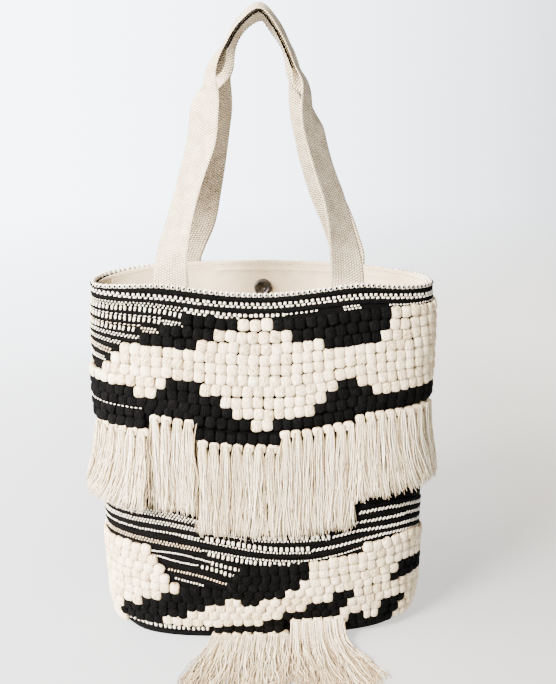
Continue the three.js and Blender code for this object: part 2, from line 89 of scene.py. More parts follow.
def planPoint(row, angle):
    power = 2 / row[..., 3]
    c, s = np.cos(angle), np.sin(angle)
    deep = np.where(s < 0, row[..., 1] * bag["frontDepth"], row[..., 2] * bag["backDepth"])
    x = row[..., 0] * bag["halfWidth"] * np.sign(c) * np.abs(c) ** power
    y = deep * np.sign(s) * np.abs(s) ** power
    return x, y


def runAlong(points):
    # length from the first point to each one
    return np.concatenate([[0], np.cumsum(np.linalg.norm(np.diff(points, axis=0), axis=1))])


def columnTable(steps=2880):
    # angle round the bag at each column, measured at half height
    angle = np.linspace(-math.pi, math.pi, steps + 1)
    run = runAlong(np.stack(planPoint(sectionAt(np.full(angle.shape, 0.5)), angle), axis=-1))
    front = run[steps // 2]
    return run / front * bag["columns"], angle, front / bag["columns"]


columnRun, columnAngle, columnWidth = columnTable()
columnTotal = columnRun[-1]


def wall(c, v, off=0.0):
    # point on the woven wall in millimetres: column c, height share v, off outward
    c, v = np.broadcast_arrays(np.asarray(c, float), np.asarray(v, float))
    angle = np.interp(np.mod(c, columnTotal), columnRun, columnAngle)
    row = sectionAt(v)
    near = 0.02
    x, y = planPoint(row, angle)
    x0, y0 = planPoint(row, angle - near)
    x1, y1 = planPoint(row, angle + near)
    long = np.hypot(x1 - x0, y1 - y0)
    across = np.clip(x / (row[..., 0] * bag["halfWidth"]), -1, 1)
    x = x + off * (y1 - y0) / long
    y = y - off * (x1 - x0) / long
    side = np.abs(across)
    front = bag["frontSwell"] * bump(side - bag["swellAt"], bag["swellWide"])
    front = front - bag["frontDip"] * bump(across, bag["dipWide"])
    tilt = bag["backTilt"] * np.clip(across, 0, 1) * (1 - across**4)
    back = bag["backArch"] * (1 - side**3 - tilt)
    isFront = np.sin(angle) < 0
    sag = np.where(isFront, row[..., 4] * bag["sag"] * bump(across, bag["sagWide"]), 0)
    nearRim = np.clip((v - bag["liftFrom"]) / (1 - bag["liftFrom"]), 0, 2)
    lift = np.where(isFront, bag["frontLift"] * (1 - side**6), 0) * nearRim
    z = v * (bag["height"] + np.where(isFront, front, back)) - sag + lift
    turn = math.radians(bag["turn"])
    c, s = math.cos(turn), math.sin(turn)
    return np.stack([x * c - y * s, x * s + y * c, np.maximum(z, 0)], axis=-1)


def unit(a):
    return a / np.maximum(np.linalg.norm(a, axis=-1, keepdims=True), 1e-9)


def wallFrame(c, v, off=0.0):
    # place on the wall with its directions along the row, up and outward
    at = wall(c, v, off)
    along = unit(wall(c + 0.15, v, off) - wall(c - 0.15, v, off))
    up = unit(wall(c, v + 0.004, off) - wall(c, v - 0.004, off))
    out = unit(np.cross(along, up))
    up = np.cross(out, along)
    return at, along, up, out


print("bag: column width", round(float(columnWidth), 2), "mm, columns", round(float(columnTotal), 1))


# Materials
def linear(text):
    # sRGB hex to linear colour
    parts = [int(text[i : i + 2], 16) / 255 for i in (1, 3, 5)]
    return [p / 12.92 if p <= 0.04045 else ((p + 0.055) / 1.055) ** 2.4 for p in parts] + [1.0]


def node(tree, kind, settings=None, links=None):
    made = tree.nodes.new(kind)
    for key, value in (settings or {}).items():
        if isinstance(key, str) and hasattr(made, key):
            setattr(made, key, value)
        else:
            made.inputs[key].default_value = value
    for key, source in (links or {}).items():
        tree.links.new(source, made.inputs[key])
    return made


def newMaterial(name, settings):
    material = bpy.data.materials.new(name)
    material.use_nodes = True
    shader = material.node_tree.nodes["Principled BSDF"]
    for key, value in settings.items():
        shader.inputs[key].default_value = value
    return material, material.node_tree, shader


def calc(tree, operation, *values):
    # a maths node: each value is a number or a socket
    made = node(tree, "ShaderNodeMath", {"operation": operation})
    for place, value in zip(made.inputs, values):
        if isinstance(value, (int, float)):
            place.default_value = value
        else:
            tree.links.new(value, place)
    return made.outputs[0]


def spread(tree, value, low, high, toLow=0.0, toHigh=1.0):
    settings = {"From Min": low, "From Max": high, "To Min": toLow, "To Max": toHigh}
    return node(tree, "ShaderNodeMapRange", settings, {"Value": value}).outputs[0]


def noise(tree, vector, scale, detail, rough=0.5):
    settings = {"Scale": scale, "Detail": detail, "Roughness": rough}
    return node(tree, "ShaderNodeTexNoise", settings, {"Vector": vector}).outputs["Fac"]


def scaled(tree, vector, scale):
    return node(tree, "ShaderNodeMapping", {"Scale": scale}, {"Vector": vector}).outputs["Vector"]


def relief(tree, height, strength, distance, normal=None):
    links = {"Height": height, "Normal": normal} if normal else {"Height": height}
    settings = {"Strength": strength, "Distance": distance}
    return node(tree, "ShaderNodeBump", settings, links).outputs["Normal"]


def ramp(tree, source, stops):
    made = node(tree, "ShaderNodeValToRGB", links={"Fac": source})
    while len(made.color_ramp.elements) < len(stops):
        made.color_ramp.elements.new(0.5)
    for element, (place, colour) in zip(made.color_ramp.elements, stops):
        element.position = place
        element.color = linear(colour)
    return made.outputs["Color"]


def join(tree, shader, **links):
    # colours, strengths and normals join the shader's sockets
    names = {"colour": "Base Color", "normal": "Normal", "glow": "Emission Color",
             "power": "Emission Strength"}
    for key, source in links.items():
        tree.links.new(source, shader.inputs[names[key]])


def yarnMaterial(name, dark, mid, pale, yarnMm, sheen=0.05, gloss=0.15):
    # Cotton yarn laid side by side: matt, soft at its edges, each bundle its own shade; the tone it reads
    # also carries painted light and shade
    material, tree, shader = newMaterial(name, {
        "Roughness": 0.92, "Sheen Weight": sheen, "Sheen Roughness": 0.6,
        "Specular IOR Level": gloss, "Sheen Tint": linear("#fff6ea"),
    })
    place = node(tree, "ShaderNodeTexCoord").outputs
    # the tone attribute: each piece's own tone, with painted shade at the edges of copies and painted light
    # and shade in the fringe's layers
    tone = node(tree, "ShaderNodeAttribute", {"attribute_name": "tone"}).outputs["Fac"]
    # UV is in millimetres across and along the yarn: fibres are long, fine streaks
    streak = scaled(tree, place["UV"], (1.0 / yarnMm, 0.16 / yarnMm, 1.0))
    fibre = noise(tree, streak, 1.0, 3.0, 0.6)
    fleck = noise(tree, place["Object"], 800.0, 3.0)
    fuzz = noise(tree, place["Object"], 1500.0, 2.0)
    light = spread(tree, fibre, 0.36, 0.64, -0.3, 0.3)
    speck = spread(tree, fleck, 0.36, 0.64, -0.18, 0.18)
    shade = calc(tree, "ADD", calc(tree, "ADD", light, speck), tone)
    fibres = relief(tree, fibre, 1.0, 0.0016 * yarnMm)
    join(tree, shader, colour=ramp(tree, shade, [(0.0, dark), (0.5, mid), (1.0, pale)]),
         normal=relief(tree, fuzz, 0.3, 0.0005, fibres))
    return material


def plainWeave(tree, uv, turns):
    # threads over and under each other in both directions
    first = calc(tree, "SINE", calc(tree, "MULTIPLY", uv[0], turns / 2))
    other = calc(tree, "SINE", calc(tree, "MULTIPLY", uv[1], turns / 2))
    return calc(tree, "MULTIPLY", first, other)


def cordedWeave(tree, uv, turns, cordMm=2.6):
    # raised cords across the webbing, each column half a thread higher than the last
    across = calc(tree, "MULTIPLY", uv[0], 1 / cordMm)
    within = calc(tree, "FRACT", across)
    crown = calc(tree, "SINE", calc(tree, "MULTIPLY", within, math.pi))
    slant = calc(tree, "MULTIPLY_ADD", within, 0.9, uv[1])
    shift = calc(tree, "MULTIPLY_ADD", calc(tree, "FLOOR", across), math.pi / turns, slant)
    wave = calc(tree, "SINE", calc(tree, "MULTIPLY", shift, turns))
    level = calc(tree, "MULTIPLY", calc(tree, "MULTIPLY_ADD", wave, 0.9, 0.5), crown)
    return calc(tree, "SUBTRACT", level, 0.35)


def clothMaterial(name, dark, light, threadMm, weave, contrast, strength, sheen):
    # Woven cotton, UV in millimetres: plain weave for canvas, cords in brick order for webbing
    material, tree, shader = newMaterial(name, {
        "Roughness": 0.9, "Sheen Weight": sheen, "Sheen Roughness": 0.5,
    })
    place = node(tree, "ShaderNodeTexCoord").outputs
    uv = node(tree, "ShaderNodeSeparateXYZ", links={0: place["UV"]}).outputs
    height = weave(tree, uv, 2 * math.pi / threadMm)
    soft = calc(tree, "MULTIPLY", noise(tree, place["Object"], 90.0, 5.0), 0.45)
    depth = calc(tree, "MULTIPLY_ADD", height, contrast, soft)
    shade = calc(tree, "MULTIPLY_ADD", noise(tree, place["Object"], 900.0, 2.0), 0.3, depth)
    join(tree, shader, colour=ramp(tree, shade, [(0.08, dark), (0.58, light)]),
         normal=relief(tree, height, strength, 0.0008))
    return material


def wovenGroundMaterial():
    # Thick black cotton weft beaten close: matt ribs, with grey fibre lint on the crowns
    material, tree, shader = newMaterial("blackCottonWeft", {"Roughness": 0.95, "Specular IOR Level": 0.04})
    place = node(tree, "ShaderNodeTexCoord").outputs["Object"]
    lint = noise(tree, scaled(tree, place, (1.0, 1.0, 6.0)), 160.0, 5.0)
    weft = node(tree, "ShaderNodeTexWave", {"Scale": 210.0, "Distortion": 2.5, "bands_direction": "Z"},
                {"Vector": place}).outputs["Fac"]
    join(tree, shader, colour=ramp(tree, lint, [(0.35, "#030303"), (0.75, "#090808")]),
         normal=relief(tree, weft, 0.5, 0.0006))
    return material


def gunmetalMaterial():
    # Gunmetal plate on steel: dark, softly polished, rubbed a little lighter
    material, tree, shader = newMaterial("gunmetalPlate", {"Metallic": 0.85, "Roughness": 0.46})
    rub = noise(tree, node(tree, "ShaderNodeTexCoord").outputs["Object"], 300.0, 4.0)
    join(tree, shader, colour=ramp(tree, rub, [(0.3, "#2e2c2a"), (0.75, "#65615c")]))
    return material


creamYarn = yarnMaterial("creamCottonLoops", "#77603f", "#d6c19b", "#efe4cc", 1.1)
blackYarn = yarnMaterial("blackCottonLoops", "#010101", "#030303", "#0b0a0a", 1.1, 0.0, 0.04)
whiteYarn = yarnMaterial("whiteCottonStitch", "#9c8d75", "#dfd4c0", "#f4eee2", 0.8)
brownYarn = yarnMaterial("undyedCottonStitch", "#6e5638", "#c2aa86", "#e6d9c0", 0.8)
fringeYarn = yarnMaterial("creamCottonFringe", "#877052", "#dcc8a2", "#f3e9d4", 0.5)
blackWeft = wovenGroundMaterial()
canvasCloth = clothMaterial("naturalCanvas", "#c4ab83", "#e4d4b6", 1.2, plainWeave, 0.13, 0.35, 0.1)
webCloth = clothMaterial("naturalWebbing", "#7d6645", "#e7d8ba", 2.4, cordedWeave, 0.3, 1.0, 0.05)
gunmetal = gunmetalMaterial()
print("materials: done")


# Modelling helpers
def pick(obj):
    bpy.ops.object.select_all(action="DESELECT")
    obj.select_set(True)
    bpy.context.view_layer.objects.active = obj


def editMesh(obj, work, **settings):
    # one edit-mode operator on the whole mesh
    pick(obj)
    bpy.ops.object.mode_set(mode="EDIT")
    bpy.ops.mesh.select_all(action="SELECT")
    work(**settings)
    bpy.ops.object.mode_set(mode="OBJECT")


def thicken(obj, thickness):
    # a real wall, grown inward from the sheet
    pick(obj)
    made = obj.modifiers.new("Solidify", "SOLIDIFY")
    made.thickness, made.offset = thickness * mm, -1
    bpy.ops.object.modifier_apply(modifier=made.name)


def getPlace(obj):
    co = np.empty(len(obj.data.vertices) * 3)
    obj.data.vertices.foreach_get("co", co)
    return co.reshape(-1, 3)


def sheetOf(name, across, along, shape, uvSize, closed=False):
    # grid laid on a surface by shape(a, b), a and b from 0 to 1, UV in millimetres
    bpy.ops.mesh.primitive_grid_add(x_subdivisions=across, y_subdivisions=along, size=2)
    obj = bpy.context.object
    obj.name = obj.data.name = name
    flat = getPlace(obj)
    a, b = (flat[:, 0] + 1) / 2, (flat[:, 1] + 1) / 2
    obj.data.vertices.foreach_set("co", (shape(a, b) * mm).ravel())
    obj.data.update()
    corners = np.empty(len(obj.data.loops), int)
    obj.data.loops.foreach_get("vertex_index", corners)
    layer = obj.data.uv_layers.active or obj.data.uv_layers.new(name="UVMap")
    uv = np.stack([a[corners] * uvSize[0], b[corners] * uvSize[1]], axis=-1)
    layer.data.foreach_set("uv", uv.ravel())
    if closed:
        editMesh(obj, bpy.ops.mesh.remove_doubles, threshold=0.00001)
    return obj


def dress(obj, material, slot, *nodes):
    obj.data.materials.clear()
    obj.data.materials.append(material)
    obj.data.polygons.foreach_set("use_smooth", np.ones(len(obj.data.polygons), bool))
    obj.data.update()
    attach(obj, "root")
    if nodes:
        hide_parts(*nodes)
    return obj


def template(shape, segments, rings):
    # one small form modelled round the origin: x along the row, z up, -y outward
    bpy.ops.mesh.primitive_uv_sphere_add(segments=segments, ring_count=rings, radius=1)
    obj = bpy.context.object
    data = obj.data
    points = shape(getPlace(obj))
    starts, totals = np.empty((2, len(data.polygons)), int)
    corners = np.empty(len(data.loops), int)
    data.polygons.foreach_get("loop_start", starts)
    data.polygons.foreach_get("loop_total", totals)
    data.loops.foreach_get("vertex_index", corners)
    bpy.data.objects.remove(obj)
    bpy.data.meshes.remove(data)
    # painted shade: the outer fifth, which lies in the shade of its neighbours, is darkened in the tone
    edge = np.max(np.abs(points[:, [0, 2]]), axis=1) * 2
    return {"points": points, "starts": starts, "totals": totals, "corners": corners,
            "uv": points[corners][:, [0, 2]], "shade": np.clip((edge - 0.8) / 0.2, 0, 1) ** 1.5}


def joinMesh(name, points, starts, totals, corners, uv, tone):
    mesh = bpy.data.meshes.new(name)
    mesh.vertices.add(len(points))
    mesh.vertices.foreach_set("co", (points * mm).ravel())
    mesh.loops.add(len(corners))
    mesh.loops.foreach_set("vertex_index", corners)
    mesh.polygons.add(len(starts))
    mesh.polygons.foreach_set("loop_start", starts)
    mesh.polygons.foreach_set("loop_total", totals)
    mesh.uv_layers.new(name="UVMap").data.foreach_set("uv", uv.ravel())
    mesh.attributes.new("tone", "FLOAT", "POINT").data.foreach_set("value", tone)
    mesh.update(calc_edges=True)
    mesh.validate()
    obj = bpy.data.objects.new(name, mesh)
    bpy.context.scene.collection.objects.link(obj)
    return obj


def layCopies(name, form, places):
    # copies of one template in one mesh; places: at, along, up, out, size, roll, tone
    at, along, up, out = (places[k] for k in ("at", "along", "up", "out"))
    roll = places["roll"][:, None]
    turnedAlong = along * np.cos(roll) + up * np.sin(roll)
    turnedUp = up * np.cos(roll) - along * np.sin(roll)
    pts = form["points"][None] * places["size"][:, None, :]
    spots = (
        at[:, None, :] + pts[..., 0:1] * turnedAlong[:, None, :]
        - pts[..., 1:2] * out[:, None, :] + pts[..., 2:3] * turnedUp[:, None, :]
    )
    m, n = len(at), len(form["points"])
    steps = np.arange(m)[:, None]
    corners = (form["corners"][None] + steps * n).ravel()
    starts = (form["starts"][None] + steps * len(form["corners"])).ravel()
    # each copy has its own stretch of yarn, laid a little aslant
    drift = chance.uniform(0, 40, (m, 1, 2))
    slant = chance.normal(0.3, 0.45, (m, 1))
    u, w = np.moveaxis(form["uv"][None] * places["size"][:, None, [0, 2]], -1, 0)
    turned = [u * np.cos(slant) - w * np.sin(slant), u * np.sin(slant) + w * np.cos(slant)]
    uv = (drift + np.stack(turned, axis=-1)).reshape(-1, 2)
    # painted shade: each copy's tone is darkened towards its edges
    tone = (places["tone"][:, None] - 0.6 * form["shade"][None]).ravel()
    return joinMesh(name, spots.reshape(-1, 3), starts, np.tile(form["totals"], m), corners, uv, tone)


# Rows of the lower half droop towards both side seams, and stand higher over the floor fringe
droop = {
    # column where it starts, seam, column where it ends, depth
    "sides": [(33, 38, 44, 0.036), (5, -3.6, -8, 0.026)],
    "full": 0.27, "none": 0.55, "fade": 0.12,
    "lift": 0.013, "liftAt": 17.5, "liftWide": 4.5, "liftFull": 0.025, "liftNone": 0.17, "liftFade": 0.1,
}


def sag(c, v):
    c = np.mod(c + 8, columnTotal) - 8
    deep = 0
    for start, seam, end, depth in droop["sides"]:
        ahead = np.clip((c - start) / (seam - start), 0, 1) ** 1.5
        behind = np.clip((end - c) / (end - seam), 0, 1)
        deep = deep + depth * np.where((c - seam) * (start - seam) > 0, ahead, behind)
    lower = np.clip(v / droop["full"], 0, 1) * np.clip((droop["none"] - v) / droop["fade"], 0, 1)
    foot = np.clip(v / droop["liftFull"], 0, 1) * np.clip((droop["liftNone"] - v) / droop["liftFade"], 0, 1)
    return v - deep * lower + droop["lift"] * bump(c - droop["liftAt"], droop["liftWide"]) * foot


def placesOnWall(c, v, off, size, roll=0.0, tone=0.5):
    c = np.asarray(c, float)
    at, along, up, out = wallFrame(c, sag(c, np.asarray(v, float)), off)
    full = np.ones(len(c))
    return {
        "at": at, "along": along, "up": up, "out": out, "roll": roll * full, "tone": tone * full,
        "size": np.asarray(size, float) * np.ones((len(c), 3)),
    }


def gather(groups):
    return {key: np.concatenate([g[key] for g in groups]) for key in groups[0]}


def bandPath(knots, c):
    # smooth height of a band at columns c
    at, v = np.array(knots, float).T
    return throughKnots(v, at, np.clip(c, at[0], at[-1]))


# Height share of the rim at each column: it is a little wavy
rimKnots = [
    (-3.6, 1.003), (4, 1.007), (10, 1.0072), (14, 1.003), (17, 1.001), (19, 1.001), (23, 1.0028),
    (27, 1.0032), (30, 0.9975), (33, 0.996), (36, 0.997), (39, 0.995), (42, 0.9932),
    (columnTotal - 11, 0.9932), (columnTotal - 6.5, 0.998), (columnTotal - 3.6, 1.003)]

# The woven shell: outer wall, flat bottom and a turned rim, in two panels. The rim follows
# rimKnots above rimFrom, and the share under counts the sheet below the base.
shell = {"wall": 1.5, "acrossFront": 170, "acrossBack": 150, "up": 110, "rimFrom": 0.9, "under": 0.35}


def panel(name, cFrom, cTo, across, replaced):
    levels = np.concatenate([
        np.linspace(-shell["under"], 0, 7)[:-1], np.linspace(0, 0.1, 16)[:-1],
        np.linspace(0.1, 1, shell["up"]),
    ])

    def shape(a, b):
        c = cFrom + (cTo - cFrom) * a
        v = np.interp(b, np.linspace(0, 1, len(levels)), levels)
        top = bandPath(rimKnots, np.mod(c - bag["seamLeft"], columnTotal) + bag["seamLeft"])
        nearRim = np.maximum((v - shell["rimFrom"]) / (1 - shell["rimFrom"]), 0)
        spot = wall(c, np.maximum(v * (1 + (top - 1) * nearRim), 0))
        spot[:, :2] *= 1 - 0.999 * np.clip(-v / shell["under"], 0, 1)[:, None]
        spot[:, 2] = np.where(v < 0, 0.0, spot[:, 2])
        return spot

    obj = sheetOf(name, across, len(levels) - 1, shape, ((cTo - cFrom) * columnWidth, bag["height"]))
    thicken(obj, shell["wall"])
    dress(obj, blackWeft, "woven_shell", replaced)


panel("shellFront", bag["seamLeft"], bag["seamRight"], shell["acrossFront"], "front_panel")
panel("shellBack", bag["seamRight"], columnTotal + bag["seamLeft"], shell["acrossBack"], "back_panel")
print("shell: done")


# Loops of the pile, modelled once: a fat bundle of yarn that hangs over the row below
def loopShape(co):
    p = np.sign(co) * np.abs(co) ** np.array([0.7, 0.85, 0.7])
    low = np.clip(0.5 - 0.5 * p[:, 2], 0, 1)
    p[:, 1] = p[:, 1] * (0.82 + 0.18 * low) - 0.1 * low
    p[:, 0] *= 0.96 + 0.04 * low
    return p * 0.5


fineLoop = template(loopShape, 14, 9)
plainLoop = template(loopShape, 9, 5)
stitch = template(lambda co: co * 0.5, 6, 4)
bar = template(lambda co: 0.5 * np.sign(co) * np.abs(co) ** 0.6, 7, 5)
loopSize = {"pitch": 9.9, "wide": 1.13, "deep": 6.8, "high": 11.7, "off": 1.3, "hang": 1.0}

# Rows of the front: v of the lowest point, then a column, the yarn as far as the next column, and so
# on: c cream, b black, a dash for none
upperRows = [
    (0.9205, "12 b 16.8 c 19.5 b 30.1 c 38"),
    (0.8905, "10 b 14.7 c 21.1 b 30 c 38"),
    (0.862, "8 b 13.1 c 24 b 29.2 c 38"),
    (0.835, "6.1 c 38"),
    (0.808, "5.1 c 38"),
    (0.7815, "4 c 38"),
    (0.7542, "-3.4 c 10.2 b 13.2 c 25.3 b 27.1 c 38"),
    (0.7269, "-3.4 b 7.2 c 9.3 b 15 c 24.3 b 28.5 c 38"),
    (0.6996, "-3.4 b 16 c 23.3 b 38"),
    (0.682, "8.2 b 12.5 - 26.9 b 38"),
    (0.6703, "-3.4 b 8.1 - 12.5 b 17.6 c 19.5 b 26.8"),
    (0.641, "-3.4 b 8.1"),
    (0.634, "12.5 b 20.2"),
]
lowerRows = [
    (0.276, "-3.4 c 8 - 28 c 38"),
    (0.2484, "-3.4 c 8.7 - 16.6 b 22.7 c 38"),
    (0.2208, "-3.4 c 9.3 - 16 b 22.7 c 38"),
    (0.1932, "-3.4 c 9.9 - 15.5 b 21.8 c 31.9 b 36.5 c 38"),
    (0.1656, "-3.4 c 10.9 b 20.5 c 31.1 b 36.5 c 38"),
    (0.138, "-3.4 c 9 b 15.3 c 16.8 b 18.4 c 25 b 27.1 c 38"),
    (0.1104, "-3.4 c 6.8 b 13.4 c 22.4 b 26.5 c 38"),
    (0.0828, "-3.4 c 4.5 b 11.6 c 20.3 b 25.8 c 30.2 b 33.2 c 38"),
    (0.0552, "-3.4 c 3.8 b 8.9 c 18.7 b 20.4 - 25.8 c 26.8 b 28.4 c 30 b 32.5 c 38"),
    (0.0276, "-3.4 c 4.4 - 14.1 b 20.4 - 25.8 b 32 c 36"),
]


def rowRun(v, cFrom, cTo):
    # length along one row at each column, so that loops and stitches keep their size
    c = np.linspace(cFrom, cTo, max(8, int((cTo - cFrom) * 8)))
    return c, runAlong(wall(c, v if np.isscalar(v) else np.interp(c, *v), 1.0))


def rowBend(c):
    # the rows stand a little higher at the sides than in the middle
    return 0.0035 * np.clip(np.abs(np.mod(c + 8, columnTotal) - 27) / 14, 0, 1) ** 1.5 - 0.001


def pileRow(bottom, cFrom, cTo):
    # one run of loops of even width, each a little different
    columns, run = rowRun(bottom, cFrom, cTo)
    count = max(1, round(run[-1] / loopSize["pitch"]))
    wide = run[-1] / count
    c = np.interp(wide * (np.arange(count) + 0.5 + chance.normal(0, 0.03, count)), run, columns)
    high = loopSize["high"] * chance.uniform(0.95, 1.06, count)
    v = bottom + rowBend(c) + (high / 2 - loopSize["hang"]) / bag["height"]
    v = v + chance.normal(0, 0.0014, count)
    size = np.stack([
        loopSize["wide"] * wide * chance.uniform(0.94, 1.06, count),
        loopSize["deep"] * chance.uniform(0.88, 1.14, count), high,
    ], axis=-1)
    roll = chance.normal(0, 0.12, count)
    return placesOnWall(c, v, loopSize["off"], size, roll, chance.uniform(0.42, 0.72, count))


def pileOf(rows, yarn):
    runs = []
    for v, line in rows:
        words = line.split()
        starts = [float(word) for word in words[::2]]
        runs += [(v, *run) for kind, *run in zip(words[1::2], starts, starts[1:]) if kind == yarn]
    return gather([pileRow(*run) for run in runs])


piles = [
    ("creamLoopsUpper", upperRows, "c", creamYarn, ["upper_loops_front"]),
    ("creamLoopsLower", lowerRows, "c", creamYarn, ["lower_loops_front"]),
    ("blackLoopsUpper", upperRows, "b", blackYarn, []),
    ("blackLoopsLower", lowerRows, "b", blackYarn, []),
]
for name, rows, kind, yarn, nodes in piles:
    dress(layCopies(name, fineLoop, pileOf(rows, kind)), yarn, "loop_pile", *nodes)

backFrom, backTo = 38.2, columnTotal + bag["seamLeft"] - 0.2
backUpper = gather([pileRow(v, backFrom, backTo) for v, _ in upperRows[:9]])
backLower = gather([pileRow(v, backFrom, backTo) for v, _ in lowerRows])
dress(layCopies("backLoopsUpper", plainLoop, backUpper), creamYarn, "loop_pile", "upper_loops_back")
dress(layCopies("backLoopsLower", plainLoop, backLower), creamYarn, "loop_pile", "lower_loops_back")
print("pile: done")

# Bands of black weft: height in millimetres, then (column, v) along the middle
blackBands = [
    (4.4, [
        (-3.6, 0.998), (0, 1.0), (5, 0.999), (8, 0.9965), (13, 0.9925), (19, 0.9905), (27, 0.993),
        (30, 0.987), (33, 0.985), (38, 0.986), (44, 0.9888), (columnTotal - 10, 0.9888),
        (columnTotal - 3.6, 0.997)]),
    (4.6, [
        (-3.6, 0.984), (0, 0.985), (5, 0.979), (8, 0.975), (13, 0.9687), (19, 0.966), (24, 0.967),
        (27, 0.966), (30, 0.9625), (33, 0.961), (44, 0.9625), (columnTotal - 10, 0.965),
        (columnTotal - 3.6, 0.984)]),
    (4.0, [(-3.6, 0.392), (2, 0.390), (5, 0.3886), (10, 0.3917), (13, 0.385)]),
    (4.6, [
        (-3.6, 0.368), (5, 0.3635), (10, 0.365), (15, 0.3615), (17.5, 0.3537), (20, 0.3404),
        (22.5, 0.335), (25, 0.3266), (30, 0.3297), (35, 0.3165), (38, 0.312)]),
    (4.6, [
        (-3.6, 0.342), (5, 0.338), (10, 0.334), (15, 0.3238), (20, 0.3037), (25, 0.2953), (30, 0.3083),
        (35, 0.293), (38, 0.288)]),
    (4.0, [
        (-3.6, 0.313), (5, 0.3094), (10, 0.308), (11.2, 0.3038), (13.2, 0.2966), (15.2, 0.2812),
        (17, 0.27)]),
    (4.2, [(27.4, 0.414), (30, 0.4147), (35, 0.394), (38, 0.388)]),
    (4.6, [(27.3, 0.386), (30, 0.382), (35, 0.372), (38, 0.366)]),
    (3.8, [(24.5, 0.357), (27.5, 0.36), (30, 0.353), (35, 0.343), (38, 0.337)]),
    (2.4, [(22.8, 0.2713), (27, 0.281), (30, 0.293), (34, 0.287), (38, 0.28)]),
    (3.4, [(8, 0.284), (11, 0.279), (14, 0.268), (17, 0.249)]),
    (4.6, [(9, 0.262), (12, 0.25), (16, 0.223)]),
    (3.4, [(10, 0.226), (13, 0.215), (16, 0.195)]),
    (2.2, [(4.5, 0.038), (8, 0.033), (12, 0.025), (14, 0.02)]),
    (1.7, [(-3.6, 0.951), (5, 0.947), (8, 0.944), (11, 0.936), (12, 0.934)]),
    (1.7, [(-3.6, 0.927), (5, 0.923), (8, 0.920), (10, 0.914)]),
    (1.7, [(-3.6, 0.902), (5, 0.898), (7, 0.8935), (8, 0.891)]),
    (2.4, [(-3.6, 0.884), (5, 0.879), (6.4, 0.875), (8, 0.871)]),
    (3.6, [(-3.6, 0.862), (3, 0.861), (6, 0.857)]),
    (4.4, [(-3.6, 0.838), (2, 0.837), (4.8, 0.834)]),
    (4.6, [(-3.6, 0.806), (1, 0.806), (4.2, 0.802)]),
]
backBandHeights = [0.66, 0.625, 0.59, 0.555, 0.52, 0.485, 0.45, 0.415, 0.392, 0.366, 0.338, 0.31]
for height in backBandHeights:
    blackBands.append((4.6, [(38, height), (columnTotal - 3.7, height)]))


def gridQuads(steps, ring, count):
    # corners of the quads between rows of ring points, count quads in each row
    i, j = np.meshgrid(np.arange(steps - 1), np.arange(count), indexing="ij")
    a, b = i * ring + j, i * ring + (j + 1) % ring
    return np.stack([a, b, b + ring, a + ring], axis=-1).reshape(-1, 4)


def bandMesh(bands, proud=1.5, around=7):
    # every band is a rounded rib on the wall, closed against it and thinner at its ends
    points, corners, uv = [], [], []
    base = 0
    ring = np.linspace(0, math.pi, around)
    for high, knots in bands:
        cFrom, cTo = knots[0][0], knots[-1][0]
        count = max(4, int((cTo - cFrom) * 1.6))
        c = np.linspace(cFrom, cTo, count)
        taper = np.clip(np.minimum(c - cFrom, cTo - c) / 0.6, 0.25, 1)[:, None]
        rise = sag(c, bandPath(knots, c))[:, None] + np.cos(ring) * high / 2 * taper / bag["height"]
        at, _, _, out = wallFrame(c[:, None] * np.ones(around), rise)
        off = np.sin(ring) ** 0.7 * proud * taper
        points.append((at + out * off[..., None]).reshape(-1, 3))
        quads = gridQuads(count, around, around - 1).ravel()
        corners.append(base + quads)
        flat = [(rise * bag["height"]).ravel(), np.repeat(c * columnWidth, around)]
        uv.append(np.stack(flat, axis=-1)[quads])
        base += count * around
    points, corners = np.concatenate(points), np.concatenate(corners)
    starts = np.arange(0, len(corners), 4)
    return points, starts, np.full(len(starts), 4), corners, np.concatenate(uv), np.full(len(points), 0.3)


dress(joinMesh("blackBands", *bandMesh(blackBands)), blackWeft, "woven_shell")
print("bands: done")

